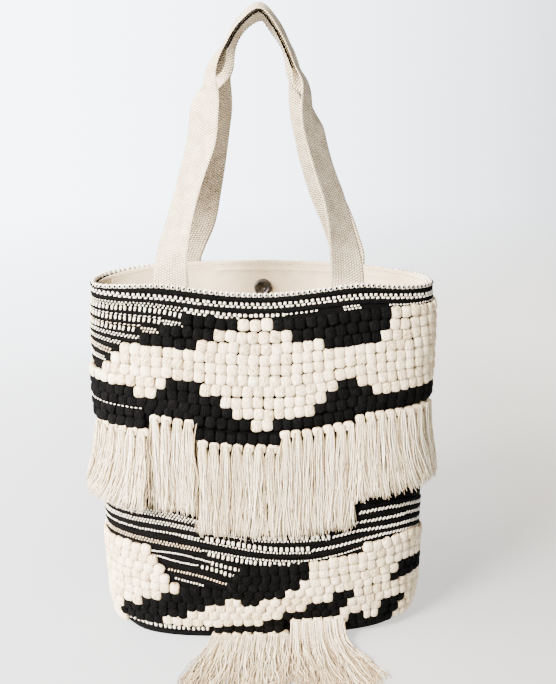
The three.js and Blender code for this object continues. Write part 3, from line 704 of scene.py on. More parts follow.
# Rows of stitches: piece, pitch, width and height in millimetres, slant in degrees, rows, then
# (column, v) along the middle
dot, tooth, brown = "whiteStitches", "whiteBars", "undyedStitches"
around = (-3.5, columnTotal - 3.7)
stitchRows = [
    # under the rim: square teeth over a fine chain, then the teeth above the loops
    (tooth, 5.0, 3.2, 2.7, 0, 1, [
        (around[0], 0.9975), (3, 0.9965), (5, 0.993), (8, 0.9872), (13, 0.982), (19, 0.9805),
        (24, 0.9825), (27, 0.9815), (30, 0.978), (33, 0.976), (44, 0.978), (around[1] - 6, 0.978),
        (around[1], 0.9955)]),
    (tooth, 5.0, 4.0, 1.9, 8, 1, [
        (around[0] + 0.25, 0.991), (3, 0.990), (5, 0.9867), (8, 0.9808), (13, 0.975), (19, 0.9737),
        (24, 0.9755), (27, 0.9745), (30, 0.9712), (33, 0.9692), (44, 0.971), (around[1] - 6, 0.971),
        (around[1], 0.989)]),
    (tooth, 5.0, 3.7, 3.0, 0, 1, [(12.2, 0.959), (16, 0.9553), (20.6, 0.9553)]),
    (tooth, 5.0, 4.0, 2.3, 0, 1, [(12.45, 0.9525), (14, 0.9495), (17.1, 0.9475)]),
    (dot, 4.6, 3.4, 1.7, 12, 1, [(20.4, 0.956), (22, 0.9575), (23.2, 0.958)]),
    (dot, 3.4, 3.0, 1.8, 12, 2, [(25.4, 0.955), (27.1, 0.955)]),
    (dot, 3.6, 3.0, 1.7, 0, 1, [(29.8, 0.954), (34, 0.955), (around[1], 0.956)]),
    # left stripes under the rim: dots over tall bars, three times, then looser rows
    (dot, 3.6, 2.3, 1.6, 20, 2, [(-3.5, 0.972), (5, 0.968), (8, 0.9655), (11, 0.959), (12.1, 0.957)]),
    (tooth, 4.7, 2.6, 4.6, -12, 1, [(-3.5, 0.96), (5, 0.9565), (8, 0.954), (11, 0.946), (12.0, 0.943)]),
    (dot, 4.7, 3.8, 1.3, 12, 1, [(-3.5, 0.9455), (5, 0.942), (8, 0.938), (10, 0.934)]),
    (tooth, 4.7, 2.6, 4.4, -12, 1, [(-3.5, 0.937), (5, 0.933), (8, 0.929), (10.0, 0.9245)]),
    (dot, 3.2, 2.8, 2.0, 30, 2, [(10.1, 0.9245), (12.0, 0.921)]),
    (brown, 4.7, 3.8, 1.3, 12, 1, [(-3.5, 0.9205), (5, 0.917), (8, 0.9135)]),
    (tooth, 4.7, 2.6, 4.6, -12, 1, [(-3.5, 0.911), (5, 0.907), (7.9, 0.902)]),
    (brown, 3.2, 2.8, 2.0, 35, 2, [(8.1, 0.903), (9.8, 0.900)]),
    (dot, 3.6, 2.5, 1.5, 18, 2, [(-3.5, 0.8945), (5, 0.890), (7.9, 0.882)]),
    (dot, 3.6, 2.5, 1.5, 18, 2, [(-3.5, 0.8735), (4, 0.872), (6.1, 0.866)]),
    (brown, 3.2, 2.4, 2.4, 35, 2, [(-3.5, 0.85), (3, 0.849), (5.2, 0.84)]),
    (dot, 3.0, 2.3, 1.9, 20, 2, [(-3.5, 0.822), (2, 0.822), (4.2, 0.818)]),
    # short dashes on the black loops
    (dot, 3.4, 3.6, 1.8, 14, 1, [(24.5, 0.8985), (26, 0.9005), (27.4, 0.8995)]),
    (dot, 4.4, 3.4, 1.1, -8, 1, [(-1.6, 0.7035), (3.5, 0.7015), (7.9, 0.6995)], 1.7, 3.9),
    # above, between and below the bands of the lower body
    (dot, 3.1, 2.4, 1.9, 0, 3, [(-3.5, 0.407), (5, 0.404), (10, 0.4036), (13.5, 0.39)]),
    (dot, 3.1, 2.4, 1.9, 0, 2, [(-3.5, 0.380), (5, 0.377), (10, 0.378), (13, 0.372), (16, 0.368)]),
    (dot, 3.1, 2.6, 2.2, 15, 1, [(-3.5, 0.355), (5, 0.3527), (10, 0.352), (13, 0.349)]),
    (tooth, 5.2, 3.7, 5.0, 0, 1, [(13.2, 0.351), (15, 0.348), (17.5, 0.338), (20, 0.3266), (23, 0.318)]),
    (dot, 3.1, 2.3, 1.9, 0, 1, [
        (11, 0.347), (13, 0.342), (15, 0.3367), (17.5, 0.326), (20, 0.3153), (23, 0.306)]),
    (tooth, 5.2, 3.7, 4.4, 0, 1, [(18, 0.364), (20, 0.3607), (23, 0.352), (25, 0.345)]),
    (dot, 3.1, 2.3, 1.9, 0, 1, [(15.5, 0.366), (18, 0.355), (20, 0.3507), (22.5, 0.3446), (25, 0.338)]),
    (dot, 4.0, 2.4, 4.6, -50, 1, [(25, 0.343), (27.5, 0.346), (30, 0.3404), (35, 0.33), (37.5, 0.325)]),
    (dot, 4.0, 2.4, 4.8, -50, 1, [
        (23, 0.312), (25, 0.312), (27.5, 0.316), (30, 0.319), (35, 0.306), (37.5, 0.30)]),
    (brown, 3.1, 2.2, 1.9, 0, 2, [(-3.5, 0.328), (5, 0.3235), (10, 0.3185), (13, 0.314)]),
    (dot, 3.1, 2.3, 1.9, 0, 1, [(13, 0.314), (15, 0.31), (17.5, 0.30), (20, 0.29), (22.5, 0.281)]),
    (tooth, 4.6, 3.0, 4.6, 0, 1, [(13.5, 0.305), (15, 0.2987), (17.5, 0.288), (20, 0.279), (22.3, 0.2715)]),
    (dot, 4.0, 2.4, 5.0, -50, 1, [(27.6, 0.399), (30, 0.3975), (35, 0.383), (37.5, 0.378)]),
    (dot, 4.0, 2.4, 4.6, -50, 1, [(27.3, 0.372), (30, 0.367), (35, 0.358), (37.5, 0.353)]),
    (dot, 3.1, 2.8, 1.4, 0, 1, [
        (22.5, 0.281), (25, 0.283), (27.5, 0.2905), (30, 0.302), (34, 0.298), (37.5, 0.293)]),
    # stripes of the lower triangle
    (dot, 2.6, 3.2, 1.5, 0, 1, [(8, 0.290), (11, 0.2917), (13.8, 0.2798)]),
    (tooth, 4.6, 2.8, 4.2, 0, 1, [(13.8, 0.2775), (15.2, 0.2685), (17.1, 0.257)]),
    (dot, 2.6, 3.2, 1.6, 0, 1, [(8.6, 0.277), (11, 0.2668), (12.7, 0.264)]),
    (tooth, 4.6, 2.8, 4.2, 0, 1, [(12.9, 0.262), (14.3, 0.2547), (16.2, 0.2375)]),
    (brown, 3.0, 2.2, 2.8, -20, 1, [(9.7, 0.239), (12.6, 0.2313), (15.7, 0.208)]),
    (dot, 3.0, 2.4, 2.2, -20, 1, [(10.4, 0.2143), (13.2, 0.2)]),
    # low on the left, where the wall turns under
    (tooth, 4.8, 3.6, 5.0, 0, 1, [(4.6, 0.055), (7, 0.047), (10, 0.042), (13.6, 0.04)]),
    (dot, 3.1, 2.3, 1.9, 0, 2, [(4.0, 0.075), (7, 0.066), (9.5, 0.058)]),
]
for k in range(len(backBandHeights) - 1):
    middle = (backBandHeights[k] + backBandHeights[k + 1]) / 2
    kind = (tooth, 5.2, 3.8, 5.0, 0, 1) if k % 3 == 1 else (dot, 3.3, 2.5, 1.9, 0, 2)
    stitchRows.append((*kind, [(38.2, middle), (columnTotal - 3.9, middle)]))


def stitchPlaces(pitch, wide, high, slant, rows, knots, deep=1.7, off=0.6):
    path = np.linspace(knots[0][0], knots[-1][0], 200)
    columns, run = rowRun((path, bandPath(knots, path)), knots[0][0], knots[-1][0])
    step = pitch / columnWidth
    c = np.interp(np.arange(pitch / 2, run[-1], pitch), run, columns)
    count = len(c)
    groups = []
    for r in range(rows):
        # rows under one another, every second one half a step further on
        along = c + (step / 2 if r % 2 else 0)
        v = bandPath(knots, along) + (r - (rows - 1) / 2) * -1.25 * high / bag["height"]
        along = along + chance.normal(0, 0.05 * step, count)
        v = v + chance.normal(0, 0.0003, count)
        size = np.array([0.9 * wide, deep, high]) * chance.uniform(0.91, 1.09, (count, 3))
        roll = math.radians(slant) + chance.normal(0, 0.08, count)
        groups.append(placesOnWall(along, v, off, size, roll, chance.uniform(0.5, 0.85, count)))
    return gather(groups)


def stitchPiece(name, form, material):
    found = [stitchPlaces(*row[1:]) for row in stitchRows if row[0] == name]
    dress(layCopies(name, form, gather(found)), material, "woven_shell")


stitchPiece(dot, stitch, whiteYarn)
stitchPiece(brown, stitch, brownYarn)
stitchPiece(tooth, bar, whiteYarn)

# Edging of the rim: a white braid over the edge, with a black dot on each turn
rimEdge = {"pitch": 5.0, "size": (5.0, 3.6, 4.4), "off": -0.4, "dot": (2.1, 2.2, 2.73), "dotOff": 1.35}
rimEnds = (bag["seamLeft"], columnTotal + bag["seamLeft"])
rimPath = np.linspace(*rimEnds, 600)
rimColumns, rimRun = rowRun((rimPath, bandPath(rimKnots, rimPath)), *rimEnds)
rimC = np.interp(np.arange(0, rimRun[-1], rimEdge["pitch"]), rimRun, rimColumns)
rimV = bandPath(rimKnots, rimC)
rimCount = len(rimC)
rimSize = np.array(rimEdge["size"]) * chance.uniform(0.93, 1.07, (rimCount, 3))
rimPlaces = placesOnWall(rimC, rimV, rimEdge["off"], rimSize, chance.normal(0.1, 0.12, rimCount),
                         chance.uniform(0.5, 0.8, rimCount))
dotPlaces = placesOnWall(rimC, rimV + 0.0006, rimEdge["dotOff"], rimEdge["dot"], -0.45, 0.3)
dress(layCopies("rimEdging", bar, rimPlaces), whiteYarn, "woven_shell")
dress(layCopies("rimDots", stitch, dotPlaces), blackYarn, "woven_shell")
print("stitches: done")

# Canvas lining: a loose cup inside, its top turned under and sewn
lining = {"off": -3.5, "wall": 0.9, "drop": 0.9, "hem": 3.6, "across": 230, "up": 90, "floor": 3.6,
          "under": 0.3}


def liningShape(a, b):
    c = bag["seamLeft"] + columnTotal * a
    top = 1 - lining["drop"] / bag["height"]
    levels = np.concatenate([np.linspace(-lining["under"], 0, 5)[:-1],
                             np.linspace(0.012, top - 0.03, lining["up"]),
                             np.linspace(top - 0.029, top, 9)])
    v = np.interp(b, np.linspace(0, 1, len(levels)), levels)
    below = (top - v) * bag["height"]
    fold = (
        0.9 * np.sin(c * 0.55 + 2 * np.sin(v * 6)) * np.clip(below / 60, 0, 1)
        + 0.35 * np.sin(c * 1.9 + v * 14) * np.clip(below / 25, 0, 1)
        + 0.5 * bump(below - lining["hem"] - 1.4, 1.0)
    )
    # a ridge under the hem at the back
    ridge = 0.8 * bump(below - 9, 1.1) * ((c > 44) & (c < 60))
    spot = wall(c, np.maximum(v, 0), lining["off"] - np.abs(fold) - ridge)
    spot[:, :2] *= 1 - 0.999 * np.clip(-v / lining["under"], 0, 1)[:, None]
    spot[:, 2] = np.where(v < 0, lining["floor"], np.maximum(spot[:, 2], lining["floor"]))
    return spot


liningCloth = sheetOf("lining", lining["across"], lining["up"] + 12, liningShape,
                      (columnTotal * columnWidth, bag["height"]), True)
thicken(liningCloth, lining["wall"])
dress(liningCloth, canvasCloth, "canvas_lining", "lining")
seamC = np.arange(-3.6, columnTotal - 3.7, 3.0 / columnWidth)
seamV = np.full(len(seamC), 1 - (lining["hem"] + 0.9) / bag["height"])
seamPlaces = placesOnWall(seamC, seamV, lining["off"] - lining["wall"] - 0.1, (2.4, 0.8, 0.7), 0, 0.1)
dress(layCopies("liningStitching", stitch, seamPlaces), brownYarn, "canvas_lining")
print("lining: done")

# Handles: flat webbing that folds in half lengthwise into a sewn grip at the top. Each knot has
# its rise, reach and lean as shares, its turn in degrees, and its fold from 0 flat to 1 folded.
web = {
    "wide": 32.0, "thick": 1.5, "sewn": 42.0, "sewnKnots": (1, 0.5, 0.15), "rimExit": 3.0, "inset": 2.45,
    "reach": 80.0, "rise": 250.0, "lean": 48.0, "along": 150, "lay": 21, "foldAngle": 86, "foldRound": 0.9,
    "tuck": 0.14, "crush": 0.28, "crushAt": 0.4, "crushWide": 0.24,
    "front": {
        "ends": (-1.03, 0.97),
        "left": [
            (0.11, 1.03, 0.96, 20, 0), (0.26, 0.93, 0.9, 42, 0), (0.42, 0.79, 0.75, 44, 0),
            (0.55, 0.67, 0.58, 34, 0), (0.66, 0.64, 0.42, 34, 0), (0.72, 0.62, 0.33, 33, 0.24),
            (0.79, 0.53, 0.26, 54, 0.7), (0.872, 0.392, 0.21, 79, 0.99), (0.945, 0.255, 0.18, 72, 1)],
        "top": (0.998, -0.015, 0.18, 66, 1),
        "right": [
            (0.945, 0.15, 0.18, 70, 1), (0.872, 0.275, 0.21, 73, 1), (0.78, 0.388, 0.27, 74, 0.93),
            (0.69, 0.505, 0.38, 58, 0.33), (0.59, 0.57, 0.52, 54, 0), (0.46, 0.68, 0.66, 56, 0),
            (0.33, 0.82, 0.75, 52, 0), (0.2, 0.91, 0.8, 40, 0), (0.1, 0.96, 0.82, 22, 0)],
    },
    "back": {
        "ends": (-0.97, 1.06),
        "left": [
            (0.12, 0.9, 0.84, 12, 0), (0.2, 0.775, 0.81, 25, 0), (0.3, 0.675, 0.75, 42, 0),
            (0.46, 0.552, 0.64, 56, 0), (0.6, 0.52, 0.49, 42, 0), (0.71, 0.485, 0.37, 27, 0.42),
            (0.79, 0.405, 0.29, 38, 0.85), (0.87, 0.352, 0.23, 50, 1), (0.935, 0.21, 0.19, 62, 1)],
        "top": (0.968, 0.02, 0.18, 62, 1),
        "right": [
            (0.93, 0.12, 0.19, 62, 1), (0.86, 0.275, 0.23, 58, 1), (0.77, 0.357, 0.31, 36, 0.85),
            (0.68, 0.415, 0.42, 36, 0.4), (0.56, 0.525, 0.56, 34, 0), (0.43, 0.63, 0.74, 28, 0),
            (0.31, 0.76, 0.86, 20, 0), (0.21, 0.9, 0.95, 12, 0), (0.12, 1.0, 1.0, 6, 0)],
    },
}


def columnAtX(x, isFront):
    tries = np.linspace(0, 38, 1200) if isFront else np.linspace(38, columnTotal, 1200)
    spots = wall(tries, np.full(tries.shape, 0.99))
    return tries[np.argmin(np.abs(spots[:, 0] - x))]


def handleKnots(which):
    isFront = which == "front"
    rows = web[which]
    facing = np.array([0, -1.0 if isFront else 1.0, 0])
    order = [(-1, r) for r in rows["left"]] + [(1, r) for r in [rows["top"], *rows["right"]]]
    centres = [np.array([s * r[1] * web["reach"], facing[1] * r[2] * web["lean"],
                         bag["height"] + r[0] * web["rise"]]) for s, r in order]
    sewn = []
    for share in rows["ends"]:
        c = columnAtX(share * web["reach"], isFront)
        half = web["wide"] / 2 / columnWidth * (1 if isFront else -1)
        for below in [web["sewn"] * k for k in web["sewnKnots"]] + [-web["rimExit"]]:
            v = 1 - below / bag["height"]
            side = unit(wall(c + half, v, -web["inset"]) - wall(c - half, v, -web["inset"]))
            sewn.append((wall(c, v, -web["inset"]), side, 0.0))
    first, last = sewn[:4], sewn[4:][::-1]
    chain = [first[3][0], *centres, last[0][0]]
    free = []
    for i, (_, r) in enumerate(order):
        along = unit(chain[i + 2] - chain[i])
        face = unit(facing - along * np.dot(facing, along))
        outward = unit(np.cross(along, [0, 1.0, 0]))
        angle = math.radians(r[3])
        normal = face * math.cos(angle) + outward * math.sin(angle)
        free.append((centres[i], unit(np.cross(along, normal)), r[4]))
    knots = first + free + last
    # the side direction runs on without flipping over
    sides = [knots[0][1]]
    for k in knots[1:]:
        sides.append(k[1] if np.dot(k[1], sides[-1]) > 0 else -k[1])
    return np.array([k[0] for k in knots]), np.array(sides), np.array([k[2] for k in knots])


def webSection(fold, side, normal, which):
    # points round the section at each place: the outer half folds behind the inner one
    swing = -1 if which == "front" else 1
    lay = np.concatenate([np.linspace(-1, 1, web["lay"]), np.linspace(1, -1, web["lay"])])
    face = np.repeat([1.0, -1.0], web["lay"])
    edge = np.clip((1 - np.abs(lay)) / 0.05, 0.25, 1) ** 0.5
    # the half behind is drawn in, most of all where the fold begins
    crush = web["crush"] * bump(fold - web["crushAt"], web["crushWide"]) * (fold > 0)
    short = web["tuck"] * fold + crush
    w = lay * web["wide"] / 2 * (1 - short[:, None] * (lay < 0))
    theta = fold[:, None] * math.radians(web["foldAngle"])
    curl = web["foldRound"] * fold[:, None]
    flat = np.sqrt(w**2 + curl**2) - curl
    sine, hand = np.sin(theta), np.sign(w)
    x = hand * flat * np.cos(theta) + sine * hand * np.minimum(np.abs(w), web["foldRound"])
    # each layer's own normal
    half = web["thick"] / 2 * face * edge
    x = x - sine * hand * half
    y = flat * sine + np.cos(theta) * half - sine * web["wide"] / 4
    spin = -fold[:, None] * math.pi / 2
    px = x * np.cos(spin) - y * np.sin(spin)
    py = swing * (x * np.sin(spin) + y * np.cos(spin))
    return px[..., None] * side[:, None, :] + py[..., None] * normal[:, None, :], lay * web["wide"] / 2


def makeHandle(which):
    centres, sides, folds = handleKnots(which)
    run = runAlong(centres)
    at = np.linspace(run[0], run[-1], web["along"])
    centre = throughKnots(centres, run, at)
    side = unit(throughKnots(sides, run, at))
    fold = np.clip(throughKnots(folds, run, at), 0, 1)
    along = unit(np.gradient(centre, axis=0))
    side = unit(side - along * np.sum(side * along, axis=1, keepdims=True))
    normal = np.cross(side, along)
    offsets, lay = webSection(fold, side, normal, which)
    spots = centre[:, None, :] + offsets
    count, ring = spots.shape[:2]
    quads = gridQuads(count, ring, ring)[:, [0, 3, 2, 1]]
    uvAt = np.stack(np.broadcast_arrays(lay + web["wide"] / 2, at[:, None]), axis=-1).reshape(-1, 2)
    caps = [np.arange(ring), (count - 1) * ring + np.arange(ring)[::-1]]
    corners = np.concatenate([quads.ravel(), *caps])
    totals = np.concatenate([np.full(len(quads), 4), [ring, ring]])
    starts = np.concatenate([[0], np.cumsum(totals)[:-1]])
    obj = joinMesh("handle" + which.title(), spots.reshape(-1, 3), starts, totals, corners,
                   uvAt[corners], np.full(count * ring, 0.4))
    editMesh(obj, bpy.ops.mesh.normals_make_consistent, inside=False)
    dress(obj, webCloth, "webbing", "handle_" + which)
    return centre, side, normal, fold, at


# Black thread down the open edge of the folded grip: in front it fills the mouth of the fold,
# at the back it shows on both faces. Hold lies across the web and away lies off it, for faces 1 and -1.
grip = {
    "front": {"pitch": 2.0, "size": (3.4, 1.7, 1.7), "from": 0.97, "hold": (7.6, 6.6),
              "away": (-1.0, -1.0)},
    "back": {"pitch": 3.4, "size": (2.8, 0.8, 0.9), "from": 0.8, "hold": (5.4, 5.4), "away": (2.0, -2.0)},
}


def gripStitches(name, thread, centre, side, normal, fold, at):
    run = np.arange(at[0], at[-1], thread["pitch"])
    run = run[np.interp(run, at, fold) > thread["from"]]
    spot, side, normal = (np.stack([np.interp(run, at, a[:, k]) for k in range(3)], axis=-1)
                          for a in (centre, side, normal))
    side, normal = unit(side), unit(normal)
    full = np.ones(len(run))
    groups = [
        {
            "at": spot + side * hold + normal * away, "along": np.cross(side, normal), "up": side * face,
            "out": normal * face, "size": full[:, None] * thread["size"], "roll": 0 * full,
            "tone": 0.1 * full,
        }
        for face, hold, away in zip((1, -1), thread["hold"], thread["away"])
    ]
    dress(layCopies(name, stitch, gather(groups)), blackYarn, "webbing")


for which in ("front", "back"):
    gripStitches("gripStitching" + which.title(), grip[which], *makeHandle(which))
print("handles: done")

# Fringe: strands of loose cotton, laid in bundles with a folded head
fringe = {"radius": 0.46, "sides": 5, "steps": 12, "layers": 4, "pitch": 0.9, "thick": 5.0, "drop": 102.0,
          "tip": 0.35, "gather": 0.5, "gatherPower": 14, "wave": 0.13, "spread": 0.18, "tipSpread": 0.16,
          "uneven": 0.028, "wander": (0.7, 2.2, 0.2)}
hangingBlocks = [
    # from and to as shares of the front, v of the top, drop share, flare, lift
    (0.06, 0.222, 0.640, 0.72, -0.05, 2.7),
    (0.225, 0.333, 0.678, 0.863, -0.004, 0.5),
    (0.336, 0.528, 0.628, 0.863, 0.0, 0.4),
    (0.531, 0.706, 0.662, 1.0, 0.0, 0.4),
    (0.709, 0.935, 0.676, 0.755, 0.03, 2.2),
]


def strandMesh(name, paths, thinnest, thickest, tone):
    # paths (strands, steps, 3) in millimetres, one tube each, thin at the tip
    count, steps = paths.shape[:2]
    sides = fringe["sides"]
    radius = fringe["radius"] * chance.uniform(thinnest, thickest, count)[:, None] * np.ones(steps)
    radius[:, -1] *= fringe["tip"]
    along = unit(np.gradient(paths, axis=1))
    first = unit(np.array([1.0, 0, 0]) - along * along[..., 0:1])[:, :, None, :]
    second = np.cross(along, first[:, :, 0])[:, :, None, :]
    ring = np.arange(sides) * 2 * math.pi / sides
    turned = np.cos(ring)[:, None] * first + np.sin(ring)[:, None] * second
    spots = paths[:, :, None, :] + radius[..., None, None] * turned
    corners = (np.arange(count)[:, None] * steps * sides + gridQuads(steps, sides, sides).ravel()).ravel()
    starts = np.arange(0, len(corners), 4)
    drift = chance.uniform(0, 30, count)[:, None, None]
    uvAt = np.broadcast_arrays(ring * 0.6 + drift, np.linspace(0, 100, steps)[None, :, None])
    return joinMesh(name, spots.reshape(-1, 3), starts, np.full(len(starts), 4), corners,
                    np.stack(uvAt, axis=-1).reshape(-1, 2)[corners],
                    np.repeat(np.clip(tone, 0, 1).ravel(), sides))

def ripple(x, seed):
    return np.sin(x * 1.3 + seed) + 0.6 * np.sin(x * 2.9 + 2.1 * seed) + 0.35 * np.sin(x * 6.1 + 0.7 * seed)


def evenly(wide, pitch):
    # strands over a width in millimetres: where each one starts, as a share
    count = int(wide / pitch)
    return ((np.arange(count) + chance.uniform(0, 1, count)) / count)[:, None]


def each(spreadOf, count, middle=0):
    # one draw for each strand
    return chance.normal(middle, spreadOf, count)[:, None]


def wander(q, count, slow, fast, most):
    # a slow wave of its own for each strand, none at its head
    turns = q * chance.uniform(slow, fast, count)[:, None] + chance.uniform(0, 1, count)[:, None]
    return chance.uniform(0, most, count)[:, None] * np.sin(turns * 6.28) * np.minimum(q * 3, 1)


def hangingPaths(block):
    start, end, top, dropShare, flare, lift = block
    q = np.linspace(0, 1, fringe["steps"]) ** 0.9
    wide = (end - start) * bag["columns"]
    paths, tones = [], []
    for layer in range(fringe["layers"]):
        share = evenly(wide * columnWidth, fringe["pitch"])
        count = len(share)
        # strands gather towards the middle of their bundle near the head
        bundle = (np.floor(share * wide) + 0.5) / wide
        pull = fringe["gather"] * (1 - q) ** fringe["gatherPower"]
        c = start * bag["columns"] + wide * (share + pull * (bundle - share))
        side = np.abs(share - (0 if flare > 0 else 1))
        c = c + flare * bag["columns"] * q**2 * (0.08 + 1.5 * side)
        c = c + fringe["wave"] * q * ripple(share * 30 + q * 2.2, layer * 2.0)
        c = c + each(fringe["spread"], count) * q
        c = c + each(fringe["tipSpread"], count) * q**3
        c = c + wander(q, count, *fringe["wander"])
        uneven = 0.0175 * ripple(share * 16, layer) + each(fringe["uneven"], count)
        long = dropShare * fringe["drop"] * (1 + uneven)
        near = 0.5 + 0.7 * np.minimum(q * 6, 1) + lift * fringe["thick"] * q**1.5
        level = (layer + 0.5 + chance.uniform(-0.4, 0.4, count)[:, None]) / fringe["layers"]
        off = near + fringe["thick"] * (1 - 0.35 * q) * level + 0.3 * ripple(share * 22 + 3 * q, layer) * q
        paths.append(wall(c, top - q * long / bag["height"], np.maximum(off, 0.9)))
        # each strand its own tone, with painted shade: strands deep in the fringe and between two bundles
        # are darker, as they lie in shade
        gap = np.abs(bundle - share) * 2 * wide
        tone = each(0.24, count, 0.56) + 0.5 * (level - 0.5) - 0.6 * gap**3
        tones.append(tone * np.ones_like(q))
    return np.concatenate(paths), np.concatenate(tones)


def headPlaces(start, end, top, off, high):
    wide = (end - start) * bag["columns"]
    count = max(2, round(wide))
    c = start * bag["columns"] + wide * (np.arange(count) + 0.5) / count
    size = np.array([0.96 * wide * columnWidth / count, 5.4, high]) * chance.uniform(0.9, 1.1, (count, 3))
    v = top - 0.22 * high / bag["height"] + chance.normal(0, 0.001, count)
    return placesOnWall(c, v, off, size, chance.normal(0, 0.05, count), chance.uniform(0.4, 0.65, count))


def layFringe(part, blocks, pathsOf, thickest, headOff, headHigh):
    for number, block in enumerate(blocks, 1):
        paths, tones = pathsOf(block)
        strands = strandMesh(f"fringe{part}{number}", paths, 0.75, thickest, tones)
        dress(strands, fringeYarn, "fringe", f"fringe_{part.lower()}_{number}")
    heads = gather([headPlaces(*block[:3], headOff, headHigh) for block in blocks])
    dress(layCopies(f"fringe{part}Heads", fineLoop, heads), fringeYarn, "fringe")
    print(f"{part.lower()} fringe: done")


layFringe("Upper", hangingBlocks, hangingPaths, 1.15, 1.9, 9.0)

# Fringe at the foot: falls down the wall, then lies on the floor and fans out
floorFringe = {"reach": 98.0, "rise": 9.0, "layers": 5, "pitch": 0.86, "steps": 15, "turnAt": 0.09,
               "tipSpread": 4, "uneven": 0.03, "wave": 2.3, "wander": (0.8, 2.4, 2.4),
               "heights": [(0, 1), (0.07, 1), (0.3, 0.72), (0.7, 0.5), (1, 0.33)]}
floorBlocks = [
    # from, to, v of the top, tips from and to as shares of halfWidth, reach
    (0.365, 0.548, 0.024, -0.47, 0.16, 1.0),
    (0.551, 0.69, 0.074, 0.17, 0.72, 0.92),
]


def floorPaths(block):
    start, end, top, tipFrom, tipTo, reachShare = block
    q = np.linspace(0, 1, floorFringe["steps"])
    wide = (end - start) * bag["columns"]
    layers = floorFringe["layers"]
    paths, tones = [], []
    for layer in range(layers):
        share = evenly(wide * columnWidth, floorFringe["pitch"])
        count = len(share)
        c = start * bag["columns"] + wide * share
        x0, y0, z0 = np.moveaxis(wall(c, top, 1.6 + layer * 0.9), -1, 0)
        tipX = (tipFrom + (tipTo - tipFrom) * share) * bag["halfWidth"]
        tipX = tipX + each(floorFringe["tipSpread"], count)
        even = each(floorFringe["uneven"], count, 1) - 0.05 * np.abs(ripple(share * 9, layer))
        reach = floorFringe["reach"] * reachShare * even
        x = x0 + (tipX - x0) * q**1.25 + wander(q, count, *floorFringe["wander"])
        x = x + floorFringe["wave"] * ripple(share * 14 + q * 4, layer * 1.7) * q
        y = y0 - reach * q + 80 * (share - 0.5) ** 2 * q
        level = (layer + chance.uniform(0.05, 0.95, count)[:, None]) / layers
        high = np.interp(q, *np.array(floorFringe["heights"]).T) * floorFringe["rise"]
        lie = 0.7 + level * (high - 0.9)
        z = lie + (z0 - lie) * np.exp(-((q / floorFringe["turnAt"]) ** 1.5))
        paths.append(np.stack([x, y, np.maximum(z, 0.65)], axis=-1))
        # each strand its own tone, in clumps; painted light and shade: lighter on the top layers and darker
        # towards the tips, which lie in shade
        tone = each(0.22, count, 0.14) + 0.22 * ripple(share * 34, layer)
        tones.append(tone + 0.9 * (level - 0.6) + 0.25 - 0.6 * q)
    return np.concatenate(paths), np.concatenate(tones)


layFringe("Lower", floorBlocks, floorPaths, 1.1, 2.6, 8.5)

# Magnetic snap: turned halves set in the lining, facing each other
snap = {
    "diameter": 18.0, "height": 3.0, "drop": 28.0, "off": -5.1, "around": 48,
    # radius and height shares
    "stud": [
        (1, 0), (1, 0.16), (0.97, 0.3), (0.9, 0.82), (0.86, 0.9), (0.3, 0.9), (0.26, 0.98), (0.2, 1.25),
        (0.0, 1.32)],
    "socket": [
        (1, 0), (1, 0.14), (0.97, 0.28), (0.93, 0.88), (0.88, 1.0), (0.64, 1.0), (0.58, 0.92),
        (0.5, 0.72), (0.25, 0.7), (0.22, 0.6), (0.2, 0.32), (0.0, 0.3)],
}


def snapHalf(name, profile, isFront, *nodes):
    v = 1 - snap["drop"] / bag["height"]
    place = wallFrame(np.array([columnAtX(0, isFront)]), np.array([v]), snap["off"])
    at, along, up, out = (row[0] for row in place)

    def shape(a, b):
        radii, heights = np.array(profile).T
        places = np.linspace(0, 1, len(profile))
        r = (np.interp(b, places, radii) * snap["diameter"] / 2)[:, None]
        h = (np.interp(b, places, heights) * snap["height"])[:, None]
        angle = (a * 2 * math.pi)[:, None]
        return at + r * (np.cos(angle) * along + np.sin(angle) * up) - h * out

    obj = sheetOf(name, snap["around"], (len(profile) - 1) * 2, shape, (50, 20), True)
    editMesh(obj, bpy.ops.mesh.normals_make_consistent, inside=False)
    dress(obj, gunmetal, "snap", *nodes)


snapHalf("snapStud", snap["stud"], True, "snap_stud")
snapHalf("snapSocket", snap["socket"], False, "snap_socket")
print("snap: done")


# Stage: a pale floor that fades into the pale room, soft light from the upper left
def floorMaterial():
    # Matt paper, cooler on the left and warmer on the right; it glows with painted light, which keeps
    # shadows pale, darker to the right as painted shade and brighter further from the bag
    material, tree, shader = newMaterial("paleFloor", {"Roughness": 0.7, "Base Color": linear("#818385")})
    place = node(tree, "ShaderNodeTexCoord").outputs["Object"]
    across = node(tree, "ShaderNodeSeparateXYZ", links={0: place}).outputs[0]
    away = node(tree, "ShaderNodeVectorMath", {"operation": "LENGTH"}, {0: place}).outputs["Value"]
    colour = ramp(tree, spread(tree, across, -0.35, 0.35), [(0.0, "#dfe2e8"), (1.0, "#a8a094")])
    join(tree, shader, glow=colour, power=spread(tree, away, 0.25, 1.15, 2.0, 4.6))
    clear = node(tree, "ShaderNodeBsdfTransparent").outputs[0]
    mixed = node(tree, "ShaderNodeMixShader",
                 links={0: spread(tree, away, 0.8, 2.6), 1: shader.outputs[0], 2: clear})
    tree.links.new(mixed.outputs[0], tree.nodes["Material Output"].inputs["Surface"])
    return material


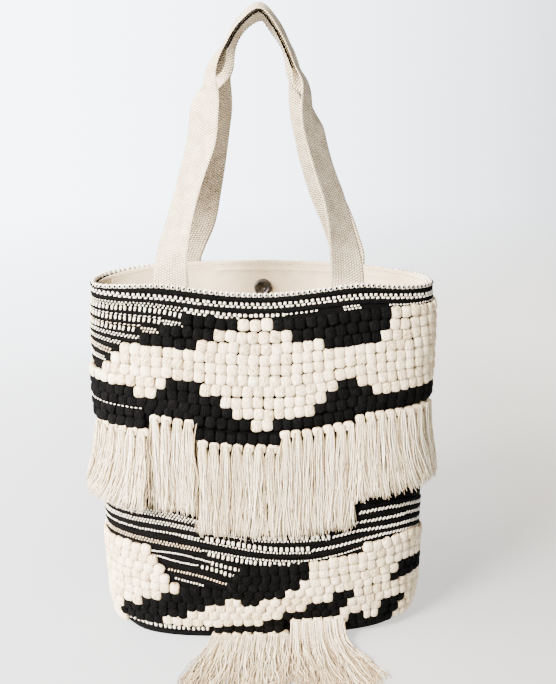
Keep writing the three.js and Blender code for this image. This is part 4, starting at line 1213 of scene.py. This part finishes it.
bpy.ops.mesh.primitive_circle_add(vertices=96, radius=3.0, fill_type="NGON", location=(0, 0, 0))
floor = bpy.context.object
floor.name = "floor"
floor.data.materials.append(floorMaterial())

world = bpy.data.worlds.new("paleRoom")
bpy.context.scene.world = world
world.use_nodes = True


def paintRoom(tree):
    # The room behind is brighter than the light it gives: bluish white, a warmer grey to the right, darker
    # there as painted shade
    back = tree.nodes["Background"]
    back.inputs[0].default_value = linear("#f1f4f8")
    back.inputs[1].default_value = 0.84
    place = node(tree, "ShaderNodeTexCoord").outputs["Generated"]
    way = node(tree, "ShaderNodeSeparateXYZ", links={0: place}).outputs[0]
    colour = ramp(tree, calc(tree, "MULTIPLY_ADD", way, 1.6, 0.5),
                  [(0.05, "#eaf4fd"), (0.5, "#c9d2da"), (0.95, "#8c8e90")])
    seen = node(tree, "ShaderNodeBackground", {"Strength": 8.5}, {"Color": colour}).outputs[0]
    path = node(tree, "ShaderNodeLightPath").outputs["Is Camera Ray"]
    mixed = node(tree, "ShaderNodeMixShader", links={0: path, 1: back.outputs[0], 2: seen})
    tree.links.new(mixed.outputs[0], tree.nodes["World Output"].inputs["Surface"])


paintRoom(world.node_tree)

lights = {
    "key": {"at": (-1.4, -1.5, 1.55), "size": 0.9, "power": 490, "colour": "#fff8f0"},
    "side": {"at": (-1.9, -0.5, 1.1), "size": 1.3, "power": 230, "colour": "#fffaf5"},
}
for name, light in lights.items():
    bpy.ops.object.light_add(type="AREA", location=light["at"])
    lamp = bpy.context.object
    lamp.name = name
    lamp.data.shape = "DISK"
    lamp.data.size = light["size"]
    lamp.data.energy = light["power"]
    lamp.data.color = linear(light["colour"])[:3]
    away = Vector((0, 0, 0.2)) - lamp.location
    lamp.rotation_euler = away.to_track_quat("-Z", "Y").to_euler()

camera = {"at": (0.0145, -0.956, 0.583), "pitch": 17.0, "lens": 53.92}
bpy.ops.object.camera_add(location=camera["at"], rotation=(math.radians(90 - camera["pitch"]), 0, 0))
eye = bpy.context.object
eye.data.lens = camera["lens"]
eye.data.sensor_width = 36
eye.data.clip_start = 0.01
bpy.context.scene.camera = eye
print("stage: done")
